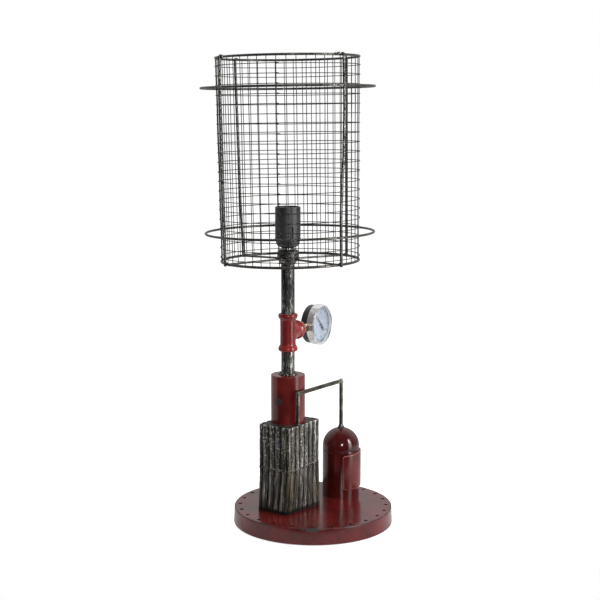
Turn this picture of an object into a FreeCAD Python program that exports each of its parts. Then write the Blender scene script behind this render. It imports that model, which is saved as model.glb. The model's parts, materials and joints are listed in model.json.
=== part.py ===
import FreeCAD, Part
import math
import os
import re
import Sketcher
from FreeCAD import Placement, Rotation, Vector

# Industrial pipe table lamp, in millimetres. The origin is the middle of the base where it stands,
# +Z is up, the gauge dial looks along -Y and the small tank stands on the +X side.

SIZES = {
    # Base
    "base_radius": 116, "base_flare": 0.8, "base_height": 25, "base_sheet": 2.5, "pan_lift": 1.5,
    "rim_holes": 24, "rim_hole_radius": 2.9, "rim_hole_circle": 107.5, "rim_hole_turn": 3.5,
    "cover_radius": 112, "cover_low": 2.5, "cover_sheet": 1.5,
    "ballast_radius": 104, "ballast_low": 12.5,
    "foot_radius": 8, "foot_circle": 94, "screw_circle": 78, "screw_radius": 2,
    "screw_head_radius": 4, "screw_head": 1.1, "screw_length": 15, "screw_clearance": 0.2,
    "inlet_bore": 3, "inlet_height": 10, "inlet_neck": 4.2, "inlet_flange": 5.5, "inlet_lip": 1.8,
    # Corrugated box
    "box_x": -28, "box_y": 22.8, "box_length": 77, "box_width": 55, "box_top": 152.5,
    "seam_height": 89, "seam_half": 1.3, "panel_sheet": 1.2, "ridge_depth": 3.4,
    "ridge_pitch": 11, "plate_sheet": 2, "post_size": 9, "post_sheet": 1.5,
    # Pole
    "pole_x": -27.5, "pole_y": 25.5, "pipe_radius": 9.75, "pipe_wall": 2.4, "pipe_low": 4.5,
    "thread_gap": 0.06, "nut_radius": 15, "nut_height": 6,
    "sleeve_radius": 24.8, "sleeve_wall": 2, "sleeve_top": 222.5, "cap_sheet": 2,
    "collar_weld_radius": 13, "collar_weld_height": 4.5,
    # Tee
    "tee_middle": 284.5, "tee_half": 27.5, "tee_radius": 11.2, "band_radius": 14.1,
    "band_width": 10, "band_round": 1.6, "tee_bore": 7.2, "tee_socket": 12, "tee_reach": 28,
    "branch_turn": 6,
    # Spider, collar and lampholder
    "hub_low": 386.5, "hub_top": 392.5, "hub_radius": 15, "pipe_top": 401,
    "top_collar_top": 404.5, "top_collar_radius": 15.3, "nipple_radius": 4.9, "nipple_bore": 3.6,
    "nipple_low": 396, "nipple_top": 412,
    "holder_low": 407, "holder_joint": 418.7, "holder_top": 466, "holder_radius": 18.2,
    "holder_wall": 2.2, "holder_neck": 9.5, "insert_radius": 14.6, "cup_radius": 13.4,
    "cup_floor": 434, "shell_radius": 13.6, "shell_wall": 0.4, "shell_low": 438.2, "shell_top": 463,
    "tongue_width": 5, "tongue_foot": 0.8, "tongue_riser": 0.6, "tongue_rise": 3,
    "terminal_radius": 1.9, "terminal_height": 6, "terminal_spread": 9,
    # Shade, in a frame of its own that leans a little
    "shade_x": -25.5, "shade_y": 22.7, "shade_z": 392, "shade_lean": -0.95,
    "bottom_ring_radius": 98, "bottom_ring_z": -2.8, "bottom_ring_wire": 1.9,
    "top_ring_radius": 100.9, "top_ring_z": 283.2, "top_ring_wire": 1.7,
    "lower_ring_radius": 120, "lower_ring_z": 37.4, "outer_ring_wire": 1.7,
    "upper_ring_radius": 122.2, "upper_ring_z": 241.7,
    "strut_wire": 2.2, "strut_tail": 5, "spoke_wire": 1.5,
    "mesh_wire": 0.5, "mesh_pitch": 13.4, "mesh_hoops": 21, "mesh_first": 6.4, "mesh_uprights": 47,
    # Pressure gauge, in a frame of its own whose Z looks out of the dial
    "gauge_reach": 80, "gauge_ahead": 3.4, "gauge_radius": 30.2, "gauge_case_radius": 28.6,
    "gauge_case_wall": 1.4, "gauge_back": -11.5, "case_depth": 13, "gauge_front": 11.5, "bezel_low": -0.2,
    "bezel_inner": 27.8, "glass_low": 9, "glass_sheet": 1.6, "dial_z": 5, "dial_sheet": 0.6,
    "dial_radius": 28.2, "needle_z": 7, "needle_sheet": 0.5, "needle_tip": 19.5,
    "needle_tail": 12.5, "arbor_radius": 0.8, "running_gap": 0.05,
    "movement_back": -8.6, "movement_front": -1.2, "movement_sheet": 1, "pinion_radius": 1.7,
    "sector_radius": 11.2, "sector_drop": 13.3, "sector_z": -5.2, "sector_sheet": 1.2,
    "tail_length": 5, "link_length": 5.2, "link_z": -3.4,
    "tube_circle": 20.5, "tube_radius": 1.9, "tube_z": -3.4,
    "block_width": 12, "stem_radius": 3.1, "bush_hex": 12.4,
    # Tank and tie rod
    "tank_x": 67.7, "tank_y": -4.5, "tank_radius": 27.7, "tank_wall": 1.6, "tank_seam": 96,
    "dome_skirt": 4.5, "plate_thick": 2.6, "plate_low": 39, "plate_top": 93, "plate_from": 218,
    "plate_sweep": 106, "plate_rise": 3.5,
    "rod_radius": 3, "rod_z": 199.6, "rod_foot_x": -42.1, "rod_foot_y": -2.2, "foot_weld": 4.8,
}

doc = FreeCAD.newDocument("PipeTableLamp")
sheet = doc.addObject("Spreadsheet::Sheet", "Sizes")
for row, (alias, value) in enumerate(SIZES.items(), start=1):
    sheet.set(f"A{row}", alias)
    sheet.set(f"B{row}", str(value))
    sheet.setAlias(f"B{row}", alias)
doc.recompute()

parts = {}


def formula(text):
    """Write the sheet's name before each alias of an expression."""
    return re.sub(r"[a-z][a-z_]*", lambda m: f"Sizes.{m[0]}" if m[0] in SIZES else m[0], str(text))


def size(text):
    """The value of a formula in the sheet's aliases."""
    words = re.split(r"([a-z][a-z_]*)", str(text))
    return FreeCAD.Units.Quantity("".join(
        f"({float(sheet.get(w))!r})" if w in SIZES else w for w in words)).Value


def bind(obj, **formulas):
    for name, text in formulas.items():
        obj.setExpression(name.replace("__", "."), formula(text))
    return obj


def put(obj, x=0, y=0, z=0, turn=None):
    """Place an object at formulas for x, y and z, after a fixed rotation."""
    if turn is not None:
        obj.Placement = Placement(Vector(0, 0, 0), turn)
    return bind(obj, Placement__Base__x=x, Placement__Base__y=y, Placement__Base__z=z)


def keep(obj, node):
    """Make this object the sub-part that is written as the node."""
    obj.Label = node
    parts[node] = obj
    return obj


def rod(name, radius, height, x=0, y=0, z=0, turn=None):
    obj = bind(doc.addObject("Part::Cylinder", name), Radius=radius, Height=height)
    return put(obj, x, y, z, turn)


def block(name, length, width, height, x=0, y=0, z=0, turn=None):
    """A box that is centred in X and Y and stands on its Z."""
    obj = bind(doc.addObject("Part::Box", name), Length=length, Width=width, Height=height)
    return put(obj, f"{x} - ({length}) / 2", f"{y} - ({width}) / 2", z, turn)


def cut(name, base, tool):
    obj = doc.addObject("Part::Cut", name)
    obj.Base, obj.Tool = base, tool
    return obj


def fuse(name, shapes):
    obj = doc.addObject("Part::MultiFuse", name)
    obj.Shapes = shapes
    return obj


def group(name, shapes):
    """Separate solids that share one node."""
    obj = doc.addObject("Part::Compound", name)
    obj.Links = shapes
    return obj


def tube(name, radius, inner, height, x=0, y=0, z=0, turn=None):
    outside = rod(name + "_outside", radius, height, x, y, z, turn)
    inside = rod(name + "_inside", inner, height, x, y, z, turn)
    return cut(name, outside, inside)


def plane(body, role):
    return next(f for f in body.Origin.OriginFeatures if f.Role == role)


def outline(body, name, role, points):
    """A closed sketch whose corners are held at formulas."""
    sketch = body.newObject("Sketcher::SketchObject", name)
    sketch.AttachmentSupport = [(plane(body, role), "")]
    sketch.MapMode = "FlatFace"
    spots = [Vector(size(a), size(b), 0) for a, b in points]
    for i, spot in enumerate(spots):
        sketch.addGeometry(Part.LineSegment(spot, spots[(i + 1) % len(spots)]), False)
    for i, (a, b) in enumerate(points):
        sketch.addConstraint(Sketcher.Constraint("Coincident", i, 2, (i + 1) % len(points), 1))
        for kind, text, value, axis in (("DistanceX", a, spots[i].x, -2), ("DistanceY", b, spots[i].y, -1)):
            if abs(value) < 1e-9:
                sketch.addConstraint(Sketcher.Constraint("PointOnObject", i, 1, axis))
            else:
                index = sketch.addConstraint(Sketcher.Constraint(kind, -1, 1, i, 1, value))
                sketch.setExpression(f"Constraints[{index}]", formula(text))
    return sketch


def turned(node, points, x=0, y=0, z=0, turn=None):
    """A body turned about its own Z from an outline of (radius, height) corners."""
    body = doc.addObject("PartDesign::Body", node)
    sketch = outline(body, node + "_outline", "XZ_Plane", points)
    spin = body.newObject("PartDesign::Revolution", node + "_turned")
    spin.Profile = sketch
    spin.ReferenceAxis = (sketch, ["V_Axis"])
    spin.Angle = 360
    put(body, x, y, z, turn)
    doc.recompute()
    return body


def padded(node, points, height, x=0, y=0, z=0, turn=None):
    """A body padded upwards from an outline in its own XY plane."""
    body = doc.addObject("PartDesign::Body", node)
    pad = body.newObject("PartDesign::Pad", node + "_pad")
    pad.Profile = outline(body, node + "_outline", "XY_Plane", points)
    bind(pad, Length=height)
    put(body, x, y, z, turn)
    doc.recompute()
    return body


def drill(body, name, role, spots, radius, depth=None):
    """Pocket round holes through a body, or to a depth on the side that holds material."""
    sketch = body.newObject("Sketcher::SketchObject", name + "_circles")
    sketch.AttachmentSupport = [(plane(body, role), "")]
    sketch.MapMode = "FlatFace"
    for i, (a, b) in enumerate(spots):
        middle = Vector(size(a), size(b), 0)
        sketch.addGeometry(Part.Circle(middle, Vector(0, 0, 1), size(radius)), False)
        index = sketch.addConstraint(Sketcher.Constraint("Radius", i, size(radius)))
        sketch.setExpression(f"Constraints[{index}]", formula(radius))
        for kind, text, value, axis in (("DistanceX", a, middle.x, -2), ("DistanceY", b, middle.y, -1)):
            if abs(value) < 1e-9:
                sketch.addConstraint(Sketcher.Constraint("PointOnObject", i, 3, axis))
            else:
                index = sketch.addConstraint(Sketcher.Constraint(kind, -1, 1, i, 3, value))
                sketch.setExpression(f"Constraints[{index}]", formula(text))
    before = body.Shape.Volume
    pocket = body.newObject("PartDesign::Pocket", name)
    pocket.Profile = sketch
    if depth is None:
        pocket.Type = "ThroughAll"
        pocket.Midplane = True
    else:
        bind(pocket, Length=depth)
    doc.recompute()
    if depth is not None and body.Shape.Volume > before - 1e-3:
        pocket.Reversed = True
        doc.recompute()
    assert body.Shape.Volume < before - 1e-3, name
    return pocket


def around(body, feature, count):
    """Repeat a feature about the body's Z."""
    before = body.Shape.Volume
    pattern = body.newObject("PartDesign::PolarPattern", feature.Name + "_around")
    pattern.Originals = [feature]
    pattern.Axis = (plane(body, "Z_Axis"), [""])
    pattern.Angle = 360
    pattern.Occurrences = count
    body.Tip = pattern
    doc.recompute()
    assert body.Shape.Volume < before - 1e-3, feature.Name


def ring_of(name, count, make):
    """A group of equal solids made at equal angles by make(index, angle in degrees)."""
    return group(name, [make(i, 360 * i / count) for i in range(count)])


def base():
    pan = turned("base_pan", [
        (0, "base_height"), ("base_radius - 1", "base_height"), ("base_radius", "base_height - 1"),
        ("base_radius + base_flare", "pan_lift"), ("base_radius + base_flare - 2.6", "pan_lift"),
        ("base_radius - base_sheet", "base_height - base_sheet"), (0, "base_height - base_sheet")])
    drill(pan, "pole_hole", "XY_Plane", [("pole_x", "pole_y")], "pipe_radius + thread_gap")
    drill(pan, "inlet_hole", "XZ_Plane", [("0", "inlet_height")], "inlet_neck", "base_radius + 10")
    turn = math.radians(SIZES["rim_hole_turn"])
    first_hole = (f"rim_hole_circle * {math.cos(turn)}", f"rim_hole_circle * {math.sin(turn)}")
    rim_hole = drill(pan, "rim_hole", "XY_Plane", [first_hole], "rim_hole_radius")
    around(pan, rim_hole, int(size("rim_holes")))
    keep(pan, "base_pan")

    ballast = turned("ballast_plate", [
        (0, "ballast_low"), ("ballast_radius", "ballast_low"),
        ("ballast_radius", "base_height - base_sheet"), (0, "base_height - base_sheet")])
    drill(ballast, "ballast_pole_hole", "XY_Plane", [("pole_x", "pole_y")], "pipe_radius + thread_gap")
    around(ballast, drill(ballast, "ballast_screw_hole", "XY_Plane", [("screw_circle", "0")],
                          "screw_radius + screw_clearance"), 4)
    keep(ballast, "ballast_plate")

    cover = turned("bottom_cover", [
        (0, "cover_low"), ("cover_radius", "cover_low"),
        ("cover_radius", "cover_low + cover_sheet"), (0, "cover_low + cover_sheet")])
    around(cover, drill(cover, "cover_screw_hole", "XY_Plane", [("screw_circle", "0")],
                        "screw_radius + screw_clearance"), 4)
    keep(cover, "bottom_cover")

    def foot(i, angle):
        x, y = math.cos(math.radians(angle + 45)), math.sin(math.radians(angle + 45))
        return rod(f"foot{i}", "foot_radius", "cover_low", f"foot_circle * {x}", f"foot_circle * {y}")

    def screw(i, angle):
        x, y = math.cos(math.radians(angle)), math.sin(math.radians(angle))
        spot = (f"screw_circle * {x}", f"screw_circle * {y}")
        head = rod(f"screw{i}_head", "screw_head_radius", "screw_head", *spot, "cover_low - screw_head")
        shank = rod(f"screw{i}_shank", "screw_radius", "screw_length", *spot, "cover_low")
        return fuse(f"screw{i}", [head, shank])

    middle_foot = rod("middle_foot", "foot_radius", "cover_low")
    keep(group("feet", [foot(i, 90 * i) for i in range(4)] + [middle_foot]), "rubber_feet")
    keep(ring_of("cover_screw_group", 4, screw), "cover_screws")

    lip_out = "base_radius + 1"
    grommet = turned("cable_grommet", [
        ("inlet_bore", "-base_sheet - inlet_lip - 1"), ("inlet_flange", "-base_sheet - inlet_lip - 1"),
        ("inlet_flange", "-base_sheet - 1"), ("inlet_neck - 0.05", "-base_sheet - 1"),
        ("inlet_neck - 0.05", "0"), ("inlet_flange", "0"), ("inlet_flange - 0.8", "inlet_lip"),
        ("inlet_bore", "inlet_lip")],
        0, lip_out, "inlet_height", Rotation(Vector(1, 0, 0), -90))
    keep(grommet, "cable_grommet")


def ridges(length, depth, thickness):
    """The outline of a corrugated sheet along X, its crests at Y 0 and its back towards +Y."""
    count = max(3, round(size(length) / size("ridge_pitch")))
    pitch = f"(({length}) / {count})"
    front = []
    for i in range(count):
        for part, offset in ((0.0, depth), (0.18, depth), (0.34, "0"), (0.82, "0")):
            front.append((f"-({length}) / 2 + {pitch} * {i + part}", offset))
    front.append((f"({length}) / 2", depth))
    back = [(a, f"{b} + {thickness}") for a, b in reversed(front)]
    return front + back


def box():
    long_side = "(box_length - 0.4)"
    short_side = "(box_width - 2 * ridge_depth - 2 * panel_sheet - 0.6)"
    sides = {
        "front": (long_side, "box_x", "box_y - box_width / 2", 0),
        "back": (long_side, "box_x", "box_y + box_width / 2", 180),
        "left": (short_side, "box_x - box_length / 2", "box_y", -90),
        "right": (short_side, "box_x + box_length / 2", "box_y", 90),
    }
    tiers = {
        "lower": ("base_height", "seam_height - seam_half - base_height"),
        "upper": ("seam_height + seam_half", "box_top - seam_height - seam_half"),
    }
    for tier, (low, height) in tiers.items():
        for side, (length, x, y, angle) in sides.items():
            node = f"{tier}_{side}_panel"
            profile = ridges(length, "ridge_depth", "panel_sheet")
            keep(padded(node, profile, height, x, y, low, Rotation(Vector(0, 0, 1), angle)), node)

    inner = "2 * (ridge_depth + panel_sheet)"
    bead_outer = block("bead_outer", "box_length", "box_width", "2 * seam_half - 0.04",
                       "box_x", "box_y", "seam_height - seam_half + 0.02")
    bead_inner = block("bead_inner", f"box_length - {inner}", f"box_width - {inner}", "2 * seam_half",
                       "box_x", "box_y", "seam_height - seam_half")
    keep(cut("bead", bead_outer, bead_inner), "seam_weld")

    plate = block("plate", f"box_length - {inner} - 0.4", f"box_width - {inner} - 0.4", "plate_sheet",
                  "box_x", "box_y", "box_top - plate_sheet")
    hole = rod("plate_hole", "pipe_radius + thread_gap", "plate_sheet", "pole_x", "pole_y",
               "box_top - plate_sheet")
    keep(cut("plate_holed", plate, hole), "box_top_plate")

    post_height = "box_top - plate_sheet - base_height"
    posts = []
    for i, (sx, sy) in enumerate(((1, 1), (-1, 1), (-1, -1), (1, -1))):
        inset = "ridge_depth + panel_sheet + 0.2 + post_size / 2"
        x = f"box_x + {sx} * (box_length / 2 - ({inset}))"
        y = f"box_y + {sy} * (box_width / 2 - ({inset}))"
        angle = block(f"post{i}_outside", "post_size", "post_size", post_height, x, y, "base_height")
        hollow = block(f"post{i}_hollow", "post_size", "post_size", post_height,
                       f"{x} - {sx} * post_sheet", f"{y} - {sy} * post_sheet", "base_height")
        posts.append(cut(f"post{i}", angle, hollow))
    keep(group("posts", posts), "corner_posts")


def pole():
    axis = ("pole_x", "pole_y")
    inner = "pipe_radius - pipe_wall"
    keep(tube("lower", "pipe_radius", inner, "tee_middle - tee_half + tee_socket - pipe_low", *axis,
              "pipe_low"), "lower_pipe")
    keep(tube("upper", "pipe_radius", inner, "pipe_top - tee_middle - tee_half + tee_socket", *axis,
              "tee_middle + tee_half - tee_socket"), "upper_pipe")

    corners = [(f"nut_radius * {math.cos(math.radians(a))}", f"nut_radius * {math.sin(math.radians(a))}")
               for a in range(0, 360, 60)]
    nut = padded("pole_locknut", corners, "nut_height", *axis, "ballast_low - nut_height")
    drill(nut, "nut_bore", "XY_Plane", [("0", "0")], "pipe_radius + thread_gap")
    keep(nut, "pole_locknut")

    keep(tube("sleeve", "sleeve_radius", "sleeve_radius - sleeve_wall",
              "sleeve_top - cap_sheet - box_top", *axis, "box_top"),
         "red_sleeve")
    cap = turned("sleeve_cap", [
        ("pipe_radius + thread_gap", "0"), ("sleeve_radius", "0"), ("sleeve_radius", "cap_sheet - 0.6"),
        ("sleeve_radius - 0.6", "cap_sheet"), ("pipe_radius + thread_gap", "cap_sheet")],
        *axis, "sleeve_top - cap_sheet")
    keep(cap, "sleeve_cap")
    weld = turned("pipe_weld", [
        ("pipe_radius + thread_gap", "0"), ("collar_weld_radius", "0"),
        ("collar_weld_radius - 0.8", "collar_weld_height / 2"),
        ("pipe_radius + 0.9", "collar_weld_height"), ("pipe_radius + thread_gap", "collar_weld_height")],
        *axis, "sleeve_top")
    keep(weld, "pipe_weld_ring")


def tee():
    axis = ("pole_x", "pole_y")
    turn = Rotation(Vector(0, 0, 1), SIZES["branch_turn"])
    run = rod("tee_run", "tee_radius", "2 * tee_half", *axis, "tee_middle - tee_half")
    out = turn * Rotation(Vector(0, 1, 0), 90)
    branch = rod("tee_branch", "tee_radius", "tee_reach", *axis, "tee_middle", out)
    bands = []
    lows = (("low_band", "tee_middle - tee_half"), ("high_band", "tee_middle + tee_half - band_width"))
    for name, low in lows:
        band = turned(name, [
            (0, 0), ("band_radius - band_round", 0), ("band_radius", "band_round"),
            ("band_radius", "band_width - band_round"), ("band_radius - band_round", "band_width"),
            (0, "band_width")], *axis, low)
        bands.append(band)
    cosine, sine = (f(math.radians(SIZES["branch_turn"])) for f in (math.cos, math.sin))
    start = "(tee_reach - band_width)"
    side = turned("side_band", [
        (0, 0), ("band_radius - band_round", 0), ("band_radius", "band_round"),
        ("band_radius", "band_width - band_round"), ("band_radius - band_round", "band_width"),
        (0, "band_width")], f"pole_x + {start} * {cosine}", f"pole_y + {start} * {sine}", "tee_middle", out)
    body = fuse("tee_body", [run, branch, side] + bands)

    socket = "pipe_radius + thread_gap"
    floor = "(tee_reach - tee_socket)"
    holes = fuse("tee_holes", [
        rod("run_bore", "tee_bore", "2 * tee_half", *axis, "tee_middle - tee_half"),
        rod("low_socket", socket, "tee_socket", *axis, "tee_middle - tee_half"),
        rod("high_socket", socket, "tee_socket", *axis, "tee_middle + tee_half - tee_socket"),
        rod("side_bore", "tee_bore", "tee_reach", *axis, "tee_middle", out),
        rod("side_socket", socket, "tee_socket", f"pole_x + {floor} * {cosine}",
            f"pole_y + {floor} * {sine}", "tee_middle", out)])
    keep(cut("tee_cut", body, holes), "pipe_tee")


SHADE_TURN = Rotation(Vector(1, 0, 0), SIZES["shade_lean"])


def in_shade(obj):
    """Carry an object of the shade frame to where the shade hangs."""
    where = Vector(size("shade_x"), size("shade_y"), size("shade_z"))
    obj.Placement = Placement(where, SHADE_TURN).multiply(obj.Placement)
    return obj


def wire(name, radius, start, end):
    """A straight wire between two points given as vectors."""
    obj = bind(doc.addObject("Part::Cylinder", name), Radius=radius)
    run = end - start
    obj.Height = run.Length
    obj.Placement = Placement(start, Rotation(Vector(0, 0, 1), run))
    return obj


def torus(name, radius, thickness, z):
    obj = bind(doc.addObject("Part::Torus", name), Radius1=radius, Radius2=thickness)
    obj.Placement = Placement(Vector(0, 0, size(z)), Rotation())
    return in_shade(obj)


def polar(angle, radius, height):
    a = math.radians(angle)
    return Vector(radius * math.cos(a), radius * math.sin(a), height)


STRUT_ANGLES = (82, 152, 259.5, 341)
STANDOFF_UPRIGHTS = (5, 28)


def shade():
    keep(torus("bottom_torus", "bottom_ring_radius", "bottom_ring_wire", "bottom_ring_z"), "bottom_ring")
    keep(torus("top_torus", "top_ring_radius", "top_ring_wire", "top_ring_z"), "top_ring")
    keep(torus("lower_torus", "lower_ring_radius", "outer_ring_wire", "lower_ring_z"), "lower_outer_ring")
    keep(torus("upper_torus", "upper_ring_radius", "outer_ring_wire", "upper_ring_z"), "upper_outer_ring")

    low, high = size("bottom_ring_z"), size("top_ring_z")
    bottom_radius, top_radius = size("bottom_ring_radius"), size("top_ring_radius")

    def wall(height):
        """The cage's radius at a height: it widens a little upwards."""
        return bottom_radius + (top_radius - bottom_radius) * (height - low) / (high - low)

    strut_offset = size("bottom_ring_wire + strut_wire + 0.05")
    struts = [
        in_shade(wire(f"strut{i}", "strut_wire",
                      polar(a, wall(low) + strut_offset, low - size("strut_tail")),
                      polar(a, wall(high) + strut_offset, high)))
        for i, a in enumerate(STRUT_ANGLES)]
    keep(group("strut_group", struts), "shade_struts")

    wire_radius = size("mesh_wire")
    count = int(size("mesh_uprights"))
    foot = low + size("bottom_ring_wire") + 0.05
    head = high - size("top_ring_wire") - 0.05
    uprights = [
        in_shade(wire(f"upright{i}", "mesh_wire", polar(360 * i / count, wall(foot), foot),
                      polar(360 * i / count, wall(head), head)))
        for i in range(count)]
    keep(group("upright_group", uprights), "mesh_uprights")

    hoops = []
    for i in range(int(size("mesh_hoops"))):
        height = low + size("mesh_first") + i * size("mesh_pitch")
        hoop = doc.addObject("Part::Torus", f"hoop{i}")
        hoop.Radius1 = wall(height) + 2 * wire_radius + 0.05
        bind(hoop, Radius2="mesh_wire")
        hoop.Placement = Placement(Vector(0, 0, height), Rotation())
        hoops.append(in_shade(hoop))
    keep(group("hoop_group", hoops), "mesh_hoops")

    spokes = []
    place = Placement(Vector(size("shade_x"), size("shade_y"), size("shade_z")), SHADE_TURN)
    pole_point = Vector(size("pole_x"), size("pole_y"), 0)
    for i, a in enumerate(STRUT_ANGLES):
        end = place.multVec(polar(a, bottom_radius - size("bottom_ring_wire + spoke_wire + 0.05"), low))
        out = Vector(end.x - pole_point.x, end.y - pole_point.y, 0).normalize()
        start = pole_point + out * size("hub_radius - 1") + Vector(0, 0, size("hub_top - 1.6"))
        start += out * 1.05
        spokes.append(wire(f"spoke{i}", "spoke_wire", start, end))
    keep(group("spoke_group", spokes), "spider_spokes")

    stands = []
    for name, z, ring_radius in (("low", "lower_ring_z", "lower_ring_radius"),
                                 ("high", "upper_ring_z", "upper_ring_radius")):
        for i in STANDOFF_UPRIGHTS:
            height, angle = size(z), 360 * i / count
            start = polar(angle, wall(height) + wire_radius + 0.05, height)
            end = polar(angle, size(ring_radius) - size("outer_ring_wire") - 0.05, height)
            stands.append(in_shade(wire(f"{name}_stand{i}", "spoke_wire", start, end)))
    keep(group("stand_group", stands), "ring_standoffs")


def spider_and_collar():
    axis = ("pole_x", "pole_y")
    bore = "pipe_radius + thread_gap"
    hub = turned("spider_hub", [
        (bore, "0"), ("pipe_radius + 1", "0"), ("hub_radius - 1", "hub_top - hub_low - 3.6"),
        ("hub_radius", "hub_top - hub_low - 2.8"), ("hub_radius", "hub_top - hub_low"),
        (bore, "hub_top - hub_low")], *axis, "hub_low")
    keep(hub, "spider_hub")
    collar = turned("top_collar", [
        (bore, "0"), ("top_collar_radius - 0.6", "0"), ("top_collar_radius", "0.8"),
        ("top_collar_radius", "top_collar_top - hub_top - 2.6"),
        ("top_collar_radius - 2.4", "top_collar_top - hub_top"),
        ("nipple_radius + thread_gap", "top_collar_top - hub_top"),
        ("nipple_radius + thread_gap", "pipe_top - hub_top + 0.2"),
        (bore, "pipe_top - hub_top + 0.2")], *axis, "hub_top")
    keep(collar, "top_collar")
    keep(tube("nipple", "nipple_radius", "nipple_bore", "nipple_top - nipple_low", *axis, "nipple_low"),
         "lamp_nipple")


def lampholder():
    axis = ("pole_x", "pole_y")
    wall = "holder_wall"
    cap = turned("holder_cap", [
        ("nipple_radius + thread_gap", "0"), ("holder_neck", "0"), ("holder_neck + 1.4", "1"),
        ("holder_radius - 1", "holder_joint - holder_low - 2.5"),
        ("holder_radius - 0.3", "holder_joint - holder_low"),
        (f"holder_radius - {wall}", "holder_joint - holder_low"),
        (f"holder_radius - {wall} - 1", "holder_joint - holder_low - 1.6"),
        ("holder_neck + 0.5", "3.2"), ("nipple_radius + thread_gap", "3.2")],
        *axis, "holder_low")
    keep(cap, "holder_cap")
    skirt = turned("holder_skirt", [
        (f"holder_radius - {wall}", "0"), ("holder_radius", "0"),
        ("holder_radius", "holder_top - holder_joint - 1.2"),
        ("holder_radius - 1.2", "holder_top - holder_joint"),
        (f"holder_radius - {wall} - 0.8", "holder_top - holder_joint"),
        (f"holder_radius - {wall} - 0.8", "holder_top - holder_joint - 1.2"),
        (f"holder_radius - {wall}", "holder_top - holder_joint - 1.2")],
        *axis, "holder_joint")
    keep(skirt, "holder_skirt")

    insert = turned("holder_insert", [
        (0, 0), ("insert_radius", 0), ("insert_radius", "shell_low - holder_joint"),
        ("cup_radius", "shell_low - holder_joint"), ("cup_radius", "cup_floor - holder_joint"),
        (0, "cup_floor - holder_joint")], *axis, "holder_joint")
    keep(insert, "ceramic_insert")
    keep(tube("shell", "shell_radius", "shell_radius - shell_wall", "shell_top - shell_low", *axis,
              "shell_low"), "screw_shell")

    square = ("tongue_width", "tongue_width")
    tongue = [
        block("tongue_base", *square, "tongue_foot", *axis, "cup_floor"),
        block("tongue_side", "tongue_riser", "tongue_width", "tongue_rise",
              "pole_x - (tongue_width - tongue_riser) / 2", "pole_y", "cup_floor"),
        block("tongue_pad", *square, "tongue_riser", *axis, "cup_floor + tongue_rise"),
    ]
    keep(fuse("tongue", tongue), "centre_contact")
    terminals = [
        rod(f"terminal_{side}", "terminal_radius", "terminal_height", f"pole_x {sign} terminal_spread",
            "pole_y", "holder_joint - terminal_height")
        for side, sign in (("left", "-"), ("right", "+"))
    ]
    keep(group("terminals", terminals), "terminal_screws")


TURN = math.radians(SIZES["branch_turn"])
GAUGE_TURN = Rotation(Vector(0, 0, 1), SIZES["branch_turn"]) * Rotation(Vector(1, 0, 0), 90)


def in_gauge(obj, x=0, y=0, z=0, turn=None):
    """Place an object by formulas in the gauge's frame: X along the branch, Y up, Z out of the dial."""
    obj.Placement = Placement(Vector(0, 0, 0), GAUGE_TURN * (turn or Rotation()))
    cosine, sine = math.cos(TURN), math.sin(TURN)
    reach = f"(gauge_reach + ({x}))"
    return bind(obj,
                Placement__Base__x=f"pole_x + {reach} * {cosine} + ({z} + gauge_ahead) * {sine}",
                Placement__Base__y=f"pole_y + {reach} * {sine} - ({z} + gauge_ahead) * {cosine}",
                Placement__Base__z=f"tee_middle + ({y})")


def gauge_rod(name, radius, height, x=0, y=0, z=0, turn=None):
    obj = bind(doc.addObject("Part::Cylinder", name), Radius=radius, Height=height)
    return in_gauge(obj, x, y, z, turn)


def gauge_turned(node, points, z=0):
    return in_gauge(turned(node, points), z=z)


def gauge_padded(node, points, height, x=0, y=0, z=0, turn=None):
    return in_gauge(padded(node, points, height), x, y, z, turn)


ALONG_BRANCH = Rotation(Vector(0, 1, 0), 90)


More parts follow.
